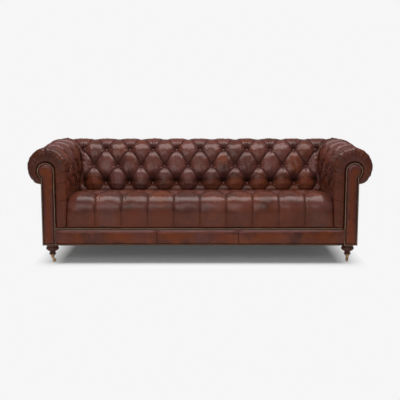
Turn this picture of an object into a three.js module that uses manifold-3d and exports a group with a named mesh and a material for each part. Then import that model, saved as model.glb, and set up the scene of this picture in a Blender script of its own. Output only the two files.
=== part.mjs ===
// Buttoned roll-arm sofa: a hardwood frame with sprung and foamed seat, deep-buttoned seat, back and
// arms, studded front borders, turned front feet on brass castors and plain tapered rear feet.
// Millimetres, +Z up, the front faces -Y. The origin is on the floor under the middle of the sofa.
import * as THREE from 'three';
import { mergeVertices } from 'three/addons/utils/BufferGeometryUtils.js';
import Module from 'manifold-3d';

const wasm = await Module();
wasm.setup();

// Overall sizes
const overallWidth = 2260;
const overallDepth = 930;
const coverUnderside = 122;
const borderHeight = 118;
const armRollAxisHeight = 638;
const backRollRise = 10;
const rollRadius = 120;
const sideInset = 79;
const gap = 0.3;
const overrun = 5;

// Buttoning: pitches along the rows, spacing between the rows, and how the leather swells and sinks
const buttonPitch = 173.5;
const buttonRowSpacing = 127;
const rollRowSpacing = 190.5;
const armButtonPitch = 210;
const armFirstButton = 179;
const seatRowSpacing = 130;
const puffCrown = 10;
const pleatDepth = 17;
const buttonDepth = 13;
const buttonReachShare = 0.36;
const fadeLength = 60;
const mitreGap = 1.2;

// Padding and the bent ply liners behind it
const padThickness = 38;
const padTailThickness = 4.7;
const linerThickness = 6;
const linerFacetRoom = 1;
const armLinerSweepAngle = 55;
const frontRoundRadius = 26;
const frontLipThickness = 14;
const lipClearance = 0.9;

// Facing panels at the front of the arms
const facingWidth = 90;
const facingHeadRadius = 57;
const facingHeadHeight = 615;
const facingThickness = 24;
const facingCrown = 3.7;
const facingCrownInset = 9;
const studStripWidth = 5;
const studStripThickness = 2.4;
const studStripSetback = 1;

// Front border and the flat covers
const borderThickness = 14.7;
const coverThickness = 4.7;
const dustCoverThickness = 1.3;
const dustCoverSideClearance = 5;

// Hardwood frame
const railHeight = 114;
const railThickness = 30;
const railEndInset = 1;
const sideRailInset = 5;
const stretcherWidth = 40;
const stretcherDrop = 36;
const blockLeg = 100;
const blockHeight = 75;
const boardThickness = 25;
const armRearBoardSetback = 90;
const backBoardEndSetback = 40;
const backBoardSpacing = 540;
const tackRailThickness = 25;
const tackRailHeight = 46;
const topRailWidth = 40;
const topRailHeight = 30;
const topRailTopOffset = 69;
const boardHeadInset = 1.3;

// Seat suspension and filling
const springWire = 4;
const springHalfWave = 27;
const springWaves = 6;
const springEndSpace = 320;
const springSpacing = 410;
const springEndInset = 12;
const hessianThickness = 1.5;
const hessianInset = 10;
const seatPadThickness = 45;

// Seat section: an upright front, a rounded edge and a top that falls to the back
const seatFrontSetback = 12;
const seatEdgeRadius = 86;
const seatEdgeHeight = 452;
const seatCrownHeight = 453;
const seatCrownSetback = 365;
const seatBackHeight = 386;
const seatFirstRow = 180;
const seatFrontShare = 0.45;
const foamSideInset = 12;

// Back section: upright at seat level, then leaning back to the roll
const backFaceDepth = 200;
const backKneeHeight = 430;
const backFadeStart = 430;
const backFadeEnd = 490;
const armFadeStart = 505;
const armFadeEnd = 560;

// Front feet and rear feet
const footSetback = 60;
const footSideInset = 55;
const castorHeight = 53;
const footBulgeRadius = 42.5;
const studRadius = 6;
const studLength = 45;
const rearFootTop = 50;
const rearFootBottom = 34;
const rearFootSetback = 61;

// Castors
const wheelRadius = 12.3;
const wheelWidth = 11;
const wheelEdge = 1.5;
const castorTrail = 10;
const axleRadius = 2;
const axleOverhang = 0.9;
const cheekThickness = 2.5;
const cheekClearance = 0.6;
const cheekBossRadius = 4.6;
const swivelPinRadius = 3.3;
const swivelPinTop = 46.5;
const forkPlateRadius = 9;
const forkPlateBottom = 26.2;
const forkPlateTop = 29.7;
const forkPlateEdge = 1.3;
const cupBottomRadius = 9;
const cupWaistRadius = 10.2;
const cupWaistHeight = 35;
const cupTopRadius = 14.8;
const cupLipRadius = 15.8;
const cupLipHeight = 2;
const cupPinRoom = 0.8;

// Turned foot outline from its underside up, as shares of its largest radius and of its height
const footOutlineShares = [
  [0.4, 0], [0.53, 0.03], [0.53, 0.12], [0.41, 0.18], [0.41, 0.25], [0.6, 0.34],
  [0.88, 0.46], [1, 0.58], [0.97, 0.7], [0.85, 0.8], [0.9, 0.85], [0.94, 0.9], [0.94, 1],
];

// Facets
const roundSegments = 24;
const smallSegments = 16;
const arcPoints = 12;
const springSteps = 38;

// Finishes
const finishes = {
  leather: { color: 0x56302a, roughness: 0.45, metalness: 0 },
  borderLeather: { color: 0x693621, roughness: 0.45, metalness: 0 },
  agedBrass: { color: 0xa8875a, roughness: 0.35, metalness: 1 },
  polishedWood: { color: 0x3a1710, roughness: 0.3, metalness: 0 },
  frameWood: { color: 0xb98d5e, roughness: 0.7, metalness: 0 },
  ply: { color: 0xc9a676, roughness: 0.75, metalness: 0 },
  springSteel: { color: 0x5a5a5c, roughness: 0.4, metalness: 1 },
  hessian: { color: 0xa88f66, roughness: 0.95, metalness: 0 },
  foam: { color: 0xd9cfa8, roughness: 0.95, metalness: 0 },
  blackCloth: { color: 0x1a1a1b, roughness: 0.95, metalness: 0 },
};

// Places worked out from the sizes
const frontY = -overallDepth / 2;
const rollX = overallWidth / 2 - puffCrown - rollRadius;
const backRollY = overallDepth / 2 - puffCrown - rollRadius;
const backRollHeight = armRollAxisHeight + backRollRise;
const sideOut = rollRadius - sideInset;
const sideX = rollX + sideOut;
const backSideY = backRollY + sideOut;
const armFaceX = rollX - rollRadius;
const backBoardOuter = armFaceX - backBoardEndSetback;
const backBoardInner = backBoardOuter - backBoardSpacing;
const springOuterX = armFaceX - springEndSpace;
const springInnerX = springOuterX - springSpacing;
const borderTop = coverUnderside + borderHeight;
const railTop = coverUnderside + railHeight;
const borderBackY = frontY + borderThickness;
const railBackY = borderBackY + gap + railThickness;
const facingInnerX = sideX - facingWidth;
const facingBackY = frontY + facingThickness;
const facingHeadX = facingInnerX + facingHeadRadius;
const lipY = frontY + facingThickness - frontLipThickness;
const sideRailOuter = sideX - coverThickness - gap;
const sideRailInner = sideRailOuter - railThickness;
const backRailRearY = backSideY - coverThickness - gap - sideRailInset;
const backRailFrontY = backRailRearY - railThickness;
const springAxisHeight = railTop + gap + springWire / 2;
const hessianUnderside = springAxisHeight + springWire / 2 + gap;
const hessianTop = hessianUnderside + hessianThickness;
const backFootHeight = hessianTop + gap;
const backFaceY = backRollY - backFaceDepth;
const linerDepth = padThickness + gap + linerFacetRoom;
const boardDepth = linerDepth + linerThickness + gap;
const footX = sideX - footSideInset;
const footY = frontY + footSetback;
const rearFootY = backSideY - rearFootSetback;
const footTop = coverUnderside - gap;

// Joins: one closed solid out of several that meet or cut each other
function toSolid(geometry) {
  const bare = geometry.clone();
  bare.deleteAttribute('normal');
  bare.deleteAttribute('uv');
  const merged = mergeVertices(bare);
  return new wasm.Manifold(new wasm.Mesh({
    numProp: 3,
    vertProperties: new Float32Array(merged.attributes.position.array),
    triVerts: new Uint32Array(merged.index.array),
  }));
}

function toGeometry(solid) {
  const mesh = solid.getMesh();
  const geometry = new THREE.BufferGeometry();
  geometry.setAttribute('position', new THREE.BufferAttribute(mesh.vertProperties, mesh.numProp));
  geometry.setIndex(new THREE.BufferAttribute(mesh.triVerts, 1));
  return geometry;
}

// Plain shapes
function box(x, y, z) {
  const geometry = new THREE.BoxGeometry(x[1] - x[0], y[1] - y[0], z[1] - z[0]);
  return geometry.translate((x[0] + x[1]) / 2, (y[0] + y[1]) / 2, (z[0] + z[1]) / 2);
}

function plate(shape, thickness, curveSegments = arcPoints) {
  return new THREE.ExtrudeGeometry(shape, { depth: thickness, bevelEnabled: false, curveSegments });
}

// An outline that runs anticlockwise, so that its holes are cut the right way round
function shapeOf(points) {
  const outline = points.map(([x, y]) => new THREE.Vector2(x, y));
  return new THREE.Shape(THREE.ShapeUtils.isClockWise(outline) ? outline.reverse() : outline);
}

// A plate drawn on the front view, across and up, that runs back from y
function frontPlate(shape, y, thickness) {
  return plate(shape, thickness).rotateX(Math.PI / 2).translate(0, y + thickness, 0);
}

// A plate drawn on the end view, back and up, that runs in +X from x
function endPlate(shape, x, thickness) {
  const turn = new THREE.Matrix4().set(0, 0, 1, x, 1, 0, 0, 0, 0, 1, 0, 0, 0, 0, 0, 1);
  return plate(shape, thickness).applyMatrix4(turn);
}

function flatPlate(shape, z, thickness) {
  return plate(shape, thickness).translate(0, 0, z);
}

function turned(points, segments = roundSegments) {
  const profile = points.map(([radius, height]) => new THREE.Vector2(radius, height));
  return new THREE.LatheGeometry(profile, segments).rotateX(Math.PI / 2);
}

function circlePoints(centre, radius, fromAngle, toAngle, count) {
  return Array.from({ length: count + 1 }, (_, i) => {
    const angle = THREE.MathUtils.degToRad(fromAngle + (toAngle - fromAngle) * i / count);
    return [centre[0] + radius * Math.cos(angle), centre[1] + radius * Math.sin(angle)];
  });
}

// A round hole in a plate
function roundHole(centre, radius) {
  const rim = circlePoints(centre, radius, 360, 0, smallSegments).slice(1);
  return new THREE.Path(rim.map(([x, y]) => new THREE.Vector2(x, y)));
}

// The section of an arm or of the back: up the face, over the roll and round under it. It is measured
// from the roll's axis: across is negative on the sitter's side.
function makeSection({ faceDepth, kneeHeight, axisHeight, footHeight }) {
  const rise = axisHeight - kneeHeight;
  const reach = Math.hypot(faceDepth, rise);
  const slope = Math.atan2(rise, faceDepth) + Math.asin(rollRadius / reach);
  const leanLength = Math.sqrt(reach ** 2 - rollRadius ** 2);
  const upright = kneeHeight - footHeight;
  const straight = upright + leanLength;
  const startAngle = slope + Math.PI / 2;
  const endAngle = -Math.acos(sideOut / rollRadius);
  const length = straight + (startAngle - endAngle) * rollRadius;
  const topLength = straight + (startAngle - Math.PI / 2) * rollRadius;

  const knee = (depth) => [depth - faceDepth, kneeHeight - depth * Math.tan((startAngle - Math.PI) / -2)];
  const tangent = (depth) => [
    (rollRadius - depth) * Math.cos(startAngle), axisHeight + (rollRadius - depth) * Math.sin(startAngle),
  ];

  // A point at a length along the outside of the section, sunk by a depth
  function at(along, depth = 0) {
    if (along <= upright) {
      const share = along / upright;
      const height = THREE.MathUtils.lerp(footHeight, knee(depth)[1], share);
      return { across: knee(depth)[0], up: height, normal: [-1, 0] };
    }
    if (along < straight) {
      const share = (along - upright) / leanLength;
      return {
        across: THREE.MathUtils.lerp(knee(depth)[0], tangent(depth)[0], share),
        up: THREE.MathUtils.lerp(knee(depth)[1], tangent(depth)[1], share),
        normal: [Math.cos(startAngle), Math.sin(startAngle)],
      };
    }
    const radius = rollRadius - depth;
    const tailOut = depth > 0 ? sideOut - padTailThickness : sideOut;
    const lastAngle = -Math.acos(tailOut / radius);
    const share = (along - straight) / (length - straight);
    const angle = startAngle - share * (startAngle - lastAngle);
    const normal = [Math.cos(angle), Math.sin(angle)];
    return { across: radius * normal[0], up: axisHeight + radius * normal[1], normal };
  }

  // Where the leaning face is at a height, sunk by a depth
  function leanAcross(height, depth) {
    const [across, up] = tangent(depth);
    return Math.max(depth - faceDepth, across - (up - height) / Math.tan(slope));
  }

  return {
    at, knee, tangent, leanAcross, length, topLength, upright, straight, startAngle, footHeight, axisHeight,
  };
}

const armSection = makeSection({
  faceDepth: rollRadius,
  kneeHeight: backKneeHeight,
  axisHeight: armRollAxisHeight,
  footHeight: borderTop + gap,
});
const backSection = makeSection({
  faceDepth: backFaceDepth,
  kneeHeight: backKneeHeight,
  axisHeight: backRollHeight,
  footHeight: backFootHeight,
});

// The mitre between an arm and the back: how far each runs at a height, on either side of the roll
function armEdgeX(across, height, depth) {
  if (across > 0) return rollX + across;
  const radius = rollRadius - depth;
  const above = Math.max(0, height - backRollHeight);
  return rollX - Math.sqrt(Math.max(0, radius ** 2 - above ** 2));
}

function backEdgeY(across, height, depth) {
  const leaning = across < 0 && height < backSection.tangent(depth)[1];
  return backRollY + (leaning ? backSection.leanAcross(height, depth) : across);
}

// How far the leather stands out at a place between its buttons. Column and row count pitches from a
// button, and in front of row 0 the pleats run straight on.
function puffHeight(column, row) {
  const back = Math.max(0, row);
  const left = column + back / 2;
  const right = column - back / 2;
  const swell = Math.sqrt(Math.abs(Math.sin(Math.PI * left) * Math.sin(Math.PI * right)));
  const away = Math.hypot(left - Math.round(left), right - Math.round(right), Math.min(0, row));
  const pull = Math.max(0, 1 - away / buttonReachShare);
  return puffCrown - pleatDepth * (1 - swell) - buttonDepth * pull ** 2;
}

function easeShare(value, start, end) {
  return THREE.MathUtils.smoothstep(value, start, end);
}

// The lengths along a section at which a pad has a row of points
function sectionRows(section, spacing, fineFrom, fineTo) {
  const rows = new Set([0, section.upright, section.length]);
  const firstRow = -Math.floor(4 * section.topLength / spacing);
  const lastRow = Math.floor(4 * (section.length - section.topLength) / spacing);
  for (let k = firstRow; k <= lastRow; k += 1) {
    const along = section.topLength + k * spacing / 4;
    const fine = along > fineFrom && along < fineTo;
    const nearEnd = along < spacing / 8 || section.length - along < spacing / 8;
    if (!nearEnd && (fine || k % 2 === 0)) rows.add(along);
  }
  return [...rows].sort((a, b) => a - b);
}

// One closed solid between an outer grid of points and the few columns of an inner one
function closedPad(outer, inner) {
  const points = [];
  const faces = [];
  const number = (grid) => grid.map((row) => row.map((point) => points.push(point) - 1));
  const outerIds = number(outer);
  const innerIds = number(inner);
  const last = outerIds.length - 1;

  function skin(ids, flip) {
    for (let r = 0; r < last; r += 1) {
      for (let c = 0; c + 1 < ids[r].length; c += 1) {
        const [a, b, d, e] = [ids[r][c], ids[r][c + 1], ids[r + 1][c + 1], ids[r + 1][c]];
        const level = (one, two) => points[one].distanceTo(points[two]);
        const quads = level(a, d) <= level(b, e) ? [[a, b, d], [a, d, e]] : [[a, b, e], [b, d, e]];
        for (const face of quads) faces.push(flip ? face.reverse() : face);
      }
    }
  }

  function side(one, two, flip) {
    for (let r = 0; r < last; r += 1) {
      const quads = [[one[r], two[r], two[r + 1]], [one[r], two[r + 1], one[r + 1]]];
      for (const face of quads) faces.push(flip ? face.reverse() : face);
    }
  }

  // A strip of triangles between an edge of the outer skin and the same edge of the inner one
  function edge(row, flip) {
    const one = outerIds[row];
    const two = innerIds[row];
    let i = 0;
    let j = 0;
    while (i + 1 < one.length || j + 1 < two.length) {
      const next = i + 1 < one.length ? points[one[i + 1]].distanceTo(points[two[j]]) : Infinity;
      const nextInner = j + 1 < two.length ? points[one[i]].distanceTo(points[two[j + 1]]) : Infinity;
      const face = next <= nextInner ? [one[i + 1], one[i], two[j]] : [one[i], two[j], two[j + 1]];
      if (next <= nextInner) i += 1;
      else j += 1;
      faces.push(flip ? face.reverse() : face);
    }
  }

  skin(outerIds, false);
  skin(innerIds, true);
  side(outerIds.map((row) => row[0]), innerIds.map((row) => row[0]), true);
  side(outerIds.map((row) => row.at(-1)), innerIds.map((row) => row.at(-1)), false);
  edge(0, false);
  edge(last, true);

  const geometry = new THREE.BufferGeometry().setFromPoints(points);
  geometry.setIndex(faces.flat());
  return faceOutwards(geometry);
}

function faceOutwards(geometry) {
  const position = geometry.attributes.position;
  const index = geometry.index;
  const corner = (i) => new THREE.Vector3().fromBufferAttribute(position, index.getX(i));
  let volume = 0;
  for (let i = 0; i < index.count; i += 3) {
    volume += corner(i).dot(corner(i + 1).cross(corner(i + 2)));
  }
  if (volume < 0) {
    for (let i = 0; i < index.count; i += 3) {
      const first = index.getX(i);
      index.setX(i, index.getX(i + 2));
      index.setX(i + 2, first);
    }
  }
  return geometry;
}

// The row that a length along the back's section lies in. The row behind the roll is further off.
function backRow(along) {
  const drop = backSection.topLength - along;
  if (drop > buttonRowSpacing) return drop / buttonRowSpacing;
  return 1 - (buttonRowSpacing - drop) / rollRowSpacing;
}

// The back pad: buttoned diamonds up the face and over the roll, mitred ends
function backPad() {
  const columns = Math.floor(4 * armFaceX / buttonPitch);
  const rows = sectionRows(
    backSection, buttonRowSpacing, backSection.topLength - 2 * buttonRowSpacing, backSection.length,
  );

  function point(along, x, end) {
    const base = backSection.at(along);
    const row = backRow(along);
    const fade = easeShare(end - Math.abs(x), 0, fadeLength)
      * easeShare(base.up, backFadeStart, backFadeEnd)
      * easeShare(backSection.length - along, 0, fadeLength);
    const proud = fade * puffHeight(x / buttonPitch + 1 / 2, row);
    return new THREE.Vector3(
      x,
      backRollY + base.across + proud * base.normal[0],
      base.up + proud * base.normal[1],
    );
  }

  const outer = rows.map((along) => {
    const base = backSection.at(along);
    const end = armEdgeX(base.across, base.up, 0) - mitreGap;
    const middle = Array.from({ length: 2 * columns + 1 }, (_, i) => (i - columns) * buttonPitch / 4);
    const between = (end + middle.at(-1)) / 2;
    const places = [-end, -between, ...middle, between, end];
    return places.map((x) => point(along, x, end));
  });
  const innerGrid = rows.map((along) => {
    const base = backSection.at(along, padThickness);
    const end = armEdgeX(base.across, base.up, padThickness) - mitreGap;
    return [-end, end].map((x) => new THREE.Vector3(x, backRollY + base.across, base.up));
  });
  return closedPad(outer, innerGrid);
}

// The outline that an arm pad's front lip closes on: the edge of the facing panel, for the right arm
function lipPoint(along) {
  const base = armSection.at(along);
  const reach = facingHeadRadius + lipClearance;
  if (along <= armSection.straight) {
    const up = THREE.MathUtils.lerp(armSection.footHeight, facingHeadHeight, along / armSection.straight);
    return [facingInnerX - lipClearance, up];
  }
  const angle = Math.atan2(base.normal[1], base.normal[0]);
  const lastAngle = -Math.acos(sideOut / rollRadius);
  const lipLastAngle = -Math.acos((sideX + lipClearance - facingHeadX) / reach);
  const shown = angle > 0 ? angle : angle * lipLastAngle / lastAngle;
  return [facingHeadX + reach * Math.cos(shown), facingHeadHeight + reach * Math.sin(shown)];
}

// An arm pad, for the right arm: a gathered front lip round the facing, puffs along the roll, a mitre
function armPad() {
  const rows = sectionRows(armSection, buttonRowSpacing, armSection.straight, armSection.length);
  const straightEnd = lipY + frontRoundRadius;
  const firstPleat = straightEnd + armFirstButton;
  const columnStep = armButtonPitch / 4;
  const firstColumn = Math.ceil((straightEnd - firstPleat) / columnStep + 1 / 4);
  const lastColumn = Math.floor((backFaceY - firstPleat) / columnStep);
  const body = [straightEnd];
  for (let k = firstColumn; k <= lastColumn; k += 1) body.push(firstPleat + k * columnStep);

  function risen(y, along, up) {
    const lengthShare = Math.min(1, (y - frontY) / (backFaceY - frontY));
    return up + backRollRise * lengthShare * Math.min(1, along / armSection.straight);
  }

  function point(along, y, end) {
    const base = armSection.at(along);
    const row = (armSection.topLength - along) / buttonRowSpacing - 1;
    const low = base.across > 0 ? 1 : easeShare(base.up, armFadeStart, armFadeEnd);
    const fade = low * easeShare(end - y, 0, fadeLength)
      * easeShare(y - lipY, frontRoundRadius / 2, frontRoundRadius + fadeLength)
      * easeShare(armSection.length - along, 0, fadeLength);
    const proud = fade * puffHeight((y - firstPleat) / armButtonPitch, row);
    return new THREE.Vector3(
      rollX + base.across + proud * base.normal[0],
      y,
      risen(y, along, base.up) + proud * base.normal[1],
    );
  }

  const outer = rows.map((along) => {
    const base = armSection.at(along);
    const [lipX, lipZ] = lipPoint(along);
    const up = risen(backFaceY, along, base.up);
    const end = backEdgeY(base.across, up, 0) - mitreGap;
    const front = [90, 60, 30].map((degrees) => {
      const turn = THREE.MathUtils.degToRad(degrees);
      const sunk = armSection.at(along, frontRoundRadius * (1 - Math.cos(turn)));
      const shown = along === armSection.length ? base : sunk;
      const y = lipY + frontRoundRadius * (1 - Math.sin(turn));
      return new THREE.Vector3(rollX + shown.across, y, shown.up);
    });
    const left = end - body.at(-1);
    const ending = [1, 2, 3].map((k) => body.at(-1) + left * k / 3);
    const lip = new THREE.Vector3(lipX, lipY, lipZ);
    return [lip, ...front, ...[...body, ...ending].map((y) => point(along, y, end))];
  });
  const innerGrid = rows.map((along) => {
    const base = armSection.at(along, padThickness);
    const [lipX, lipZ] = lipPoint(along);
    const end = backEdgeY(base.across, base.up, padThickness) - mitreGap;
    const insideY = lipY + frontLipThickness;
    const cornerAcross = along === armSection.length ? sideOut + lipClearance : base.across;
    return [
      new THREE.Vector3(lipX, insideY, lipZ),
      new THREE.Vector3(rollX + cornerAcross, insideY, base.up),
      new THREE.Vector3(rollX + base.across, end, base.up),
    ];
  });
  return closedPad(outer, innerGrid);
}

// The seat's outer section, as places back from the front and up, with the way each faces
function seatSection(foot) {
  const face = frontY + seatFrontSetback;
  const edgeLow = seatEdgeHeight - seatEdgeRadius;
  const edge = circlePoints([face + seatEdgeRadius, edgeLow], seatEdgeRadius, 180, 90, 5);
  const top = new THREE.QuadraticBezierCurve(
    new THREE.Vector2(face + seatEdgeRadius, seatEdgeHeight),
    new THREE.Vector2(frontY + seatCrownSetback, seatCrownHeight),
    new THREE.Vector2(backFaceY - gap, seatBackHeight),
  );
  const rowStep = seatRowSpacing / 2;
  const steps = Math.round(top.getLength() / rowStep);
  const along = top.getSpacedPoints(2 * steps).slice(1).map((p) => [p.x, p.y]);
  const places = [[face, foot], [face, (foot + edgeLow) / 2], ...edge, ...along];
  return places.map(([y, z], i) => {
    const before = places[Math.max(0, i - 1)];
    const after = places[Math.min(places.length - 1, i + 1)];
    const run = new THREE.Vector2(after[0] - before[0], after[1] - before[1]).normalize();
    return { y, z, normal: [-run.y, run.x] };
  });
}

// Columns of the seat: whole pitches between the buttons, then an end panel that reaches the arm
function seatColumn(x) {
  const lastButton = Math.floor(armFaceX / buttonPitch - 1 / 2) * buttonPitch;
  const beyond = Math.max(0, Math.abs(x) - lastButton);
  const inside = Math.min(Math.abs(x), lastButton) / buttonPitch;
  return Math.sign(x) * (inside + beyond / (armFaceX - lastButton));
}

function seatPad() {
  const places = seatSection(hessianUnderside);
  const half = armFaceX - gap;
  const lastButton = Math.floor(armFaceX / buttonPitch - 1 / 2) * buttonPitch;
  const inner = Math.round(4 * lastButton / buttonPitch);
  const middle = Array.from({ length: 2 * inner + 1 }, (_, i) => (i - inner) * buttonPitch / 4);
  const ends = [1, 2, 3, 4].map((k) => lastButton + (half - lastButton) * k / 4);
  const columns = [...ends.map((x) => -x).reverse(), ...middle, ...ends];
  const firstRowY = frontY + seatFirstRow;
  const outer = places.map(({ y, z, normal }) => columns.map((x) => {
    const row = (y - firstRowY) / seatRowSpacing;
    const rearFade = easeShare(backFaceY - y, 0, fadeLength);
    const footFade = easeShare(z, hessianUnderside, hessianUnderside + fadeLength);
    const front = THREE.MathUtils.lerp(seatFrontShare, 1, easeShare(z, hessianUnderside, seatEdgeHeight));
    const height = puffHeight(seatColumn(x), row) - puffCrown * (1 - front);
    const proud = rearFade * footFade * front * height;
    return new THREE.Vector3(x, y + proud * normal[0], z + proud * normal[1]);
  }));
  const innerGrid = places.map(({ y, z, normal }) => {
    const sunkY = Math.min(backFaceY - gap, y - seatPadThickness * normal[0]);
    const sunkZ = z - seatPadThickness * normal[1];
    return [-half, half].map((x) => new THREE.Vector3(x, sunkY, sunkZ));
  });
  const rear = innerGrid.length - 1;
  for (const p of innerGrid[rear]) p.y = backFaceY - gap;
  for (const p of innerGrid[0]) p.z = hessianUnderside;
  return closedPad(outer, innerGrid);
}

// The foam under the seat pad, on the hessian
function seatFoam() {
  const depth = seatPadThickness + gap;
  const top = seatSection(hessianUnderside).slice(1);
  const sunk = top.map(({ y, z, normal }) => [y - depth * normal[0], z - depth * normal[1]]);
  const rearY = backFaceY - gap;
  const frontOfFoam = frontY + seatFrontSetback + depth + gap;
  const kept = sunk.filter(([y]) => y > frontOfFoam && y < rearY - seatPadThickness / 2);
  const foot = hessianTop + gap;
  const points = [
    [frontOfFoam, foot], [frontOfFoam, kept[0][1] - seatPadThickness],
    ...kept.map(([y, z]) => [y, z - gap]), [rearY, sunk.at(-1)[1] - 2 * gap], [rearY, foot],
  ];
  const half = armFaceX - foamSideInset;
  return endPlate(shapeOf(points), -half, 2 * half);
}

// Sections of the bent ply liners, measured across from the roll's axis
function linerPoints(section, lastAngle) {
  const outerDepth = linerDepth;
  const innerDepth = linerDepth + linerThickness;
  const face = [];
  const back = [];
  for (const [depth, list] of [[outerDepth, face], [innerDepth, back]]) {
    const low = section.at(0, depth);
    const from = THREE.MathUtils.radToDeg(section.startAngle);
    list.push([low.across, low.up], section.knee(depth));
    list.push(...circlePoints([0, section.axisHeight], rollRadius - depth, from, lastAngle, arcPoints));
  }
  return [...face, ...back.reverse()];
}

function armLiner() {
  const points = linerPoints(armSection, -armLinerSweepAngle).map(([a, up]) => [rollX + a, up]);
  const front = facingBackY + gap;
  const rear = backRollY - armRearBoardSetback;
  return frontPlate(shapeOf(points), front, rear - front);
}

function backLiner() {
  const points = linerPoints(backSection, -armLinerSweepAngle).map(([a, up]) => [backRollY + a, up]);
  const half = armFaceX + padThickness - mitreGap;
  return endPlate(shapeOf(points), -half, 2 * half);
}

// The head of a scroll board: round from one side of its post to the other
function headPoints(centreAcross, height, outX) {
  const radius = rollRadius - boardDepth - boardHeadInset;
  const last = -THREE.MathUtils.radToDeg(Math.acos((outX - centreAcross) / radius));
  return circlePoints([centreAcross, height], radius, 180, last, arcPoints);
}

function armFrontBoard() {
  const outX = sideRailOuter;
  const inX = rollX - rollRadius + boardDepth + boardHeadInset;
  const points = [
    [facingInnerX + gap, coverUnderside], [outX, coverUnderside],
    ...headPoints(rollX, armRollAxisHeight, outX).reverse(),
    [inX, borderTop + gap], [facingInnerX + gap, borderTop + gap],
  ];
  const front = facingBackY + gap;
  return frontPlate(shapeOf(points), front, railBackY - gap - front);
}

function armRearBoard() {
  const outX = sideRailOuter;
  const inX = rollX - rollRadius + boardDepth + boardHeadInset;
  const points = [
    [inX, railTop + gap], [outX, railTop + gap],
    ...headPoints(rollX, armRollAxisHeight, outX).reverse(),
  ];
  const rear = backRollY - armRearBoardSetback;
  return frontPlate(shapeOf(points), rear - boardThickness, boardThickness);
}

function armTopRail() {
  const y = [railBackY, backRollY - armRearBoardSetback - boardThickness - gap];
  const top = armRollAxisHeight + topRailTopOffset;
  return box([rollX - topRailWidth / 2, rollX + topRailWidth / 2], y, [top - topRailHeight, top]);
}

function armTackRail() {
  const inX = armFaceX + boardDepth + boardHeadInset;
  const y = [railBackY, backRollY - armRearBoardSetback - boardThickness - gap];
  const foot = borderTop + gap;
  return box([inX, inX + tackRailThickness], y, [foot, foot + tackRailHeight]);
}

// A back board stands on the back rail, and is cut away for the tack rail and the top rail
function backBoard(x) {
  const inY = backFaceY + boardDepth + boardHeadInset;
  const outY = backSideY - coverThickness - gap;
  const foot = backFootHeight + gap;
  const notchTop = foot + tackRailHeight + gap;
  const railNotch = backRollHeight + topRailTopOffset - topRailHeight - gap;
  const half = topRailWidth / 2 + gap;
  const head = headPoints(backRollY, backRollHeight, outY);
  const leanDepth = boardDepth + boardHeadInset;
  const shoulder = backRollY + backSection.leanAcross(backRollHeight, leanDepth);
  const kneeY = backRollY + backSection.leanAcross(backKneeHeight, leanDepth);
  const headLeft = head.filter(([y, z]) => y < backRollY - half && z > backSection.tangent(leanDepth)[1]);
  const headRight = head.filter(([y]) => y > backRollY + half);
  const headTop = backRollHeight + Math.sqrt((rollRadius - leanDepth) ** 2 - half ** 2);
  const points = [
    [inY + tackRailThickness + gap, foot], [inY + tackRailThickness + gap, notchTop],
    [inY, notchTop], [kneeY, backKneeHeight], [shoulder, backRollHeight],
    ...headLeft, [backRollY - half, headTop], [backRollY - half, railNotch],
    [backRollY + half, railNotch], [backRollY + half, headTop], ...headRight,
    [outY, railTop + gap], [backRailFrontY, railTop + gap], [backRailFrontY, foot],
  ];
  return endPlate(shapeOf(points), x, boardThickness);
}

function backTopRail() {
  const half = backBoardOuter + boardThickness;
  const top = backRollHeight + topRailTopOffset;
  return box(
    [-half, half], [backRollY - topRailWidth / 2, backRollY + topRailWidth / 2], [top - topRailHeight, top],
  );
}

function backTackRail() {
  const half = backBoardOuter + boardThickness;
  const inY = backFaceY + boardDepth + boardHeadInset;
  const foot = backFootHeight + gap;
  return box([-half, half], [inY, inY + tackRailThickness], [foot, foot + tackRailHeight]);
}

// Base frame
const railZ = [coverUnderside, railTop];

function sideRail() {
  return box([sideRailInner, sideRailOuter], [railBackY, backRailRearY + sideRailInset], railZ);
}

function frontRail() {
  const half = facingInnerX - gap - railEndInset;
  return box([-half, half], [borderBackY + gap, railBackY - gap], railZ);
}

function backRail() {
  const half = sideRailInner - gap;
  return box([-half, half], [backRailFrontY, backRailRearY], railZ);
}

function cornerBlock(holeX, holeY, cornerX, cornerY, inward) {
  const shape = shapeOf([
    [cornerX, cornerY], [cornerX - blockLeg, cornerY], [cornerX, cornerY + inward * blockLeg],
  ]);
  shape.holes.push(roundHole([holeX, holeY], studRadius + 2 * gap));
  return flatPlate(shape, coverUnderside, blockHeight);
}

function frontBlock() {
  return cornerBlock(footX, footY, sideRailInner - gap, railBackY, 1);
}

function rearBlock() {
  return cornerBlock(footX, rearFootY, sideRailInner - gap, backRailFrontY - gap, -1);
}

function seatSpring(x) {
  const wire = springWire / 2;
  const front = borderBackY + gap + springEndInset;
  const rear = backRailRearY - springEndInset;
  const count = 2 * springWaves;
  const turns = Array.from({ length: count - 1 }, (_, i) => {
    const side = i % 2 ? -springHalfWave : springHalfWave;
    const y = THREE.MathUtils.lerp(front, rear, (i + 1) / count);
    return new THREE.Vector3(x + side, y, springAxisHeight);
  });
  const path = new THREE.CatmullRomCurve3([
    new THREE.Vector3(x, front, springAxisHeight), ...turns, new THREE.Vector3(x, rear, springAxisHeight),
  ]);
  const section = shapeOf([[-wire, -wire], [wire, -wire], [wire, wire], [-wire, wire]].map(
    ([a, b]) => [a * Math.SQRT1_2, b * Math.SQRT1_2],
  ));
  return new THREE.ExtrudeGeometry(section, { steps: springSteps, extrudePath: path, bevelEnabled: false });
}

function seatHessian() {
  const half = armFaceX - hessianInset;
  const front = frontY + seatFrontSetback + seatPadThickness + gap;
  return box([-half, half], [front, backRailFrontY - hessianInset], [hessianUnderside, hessianTop]);
}

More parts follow.
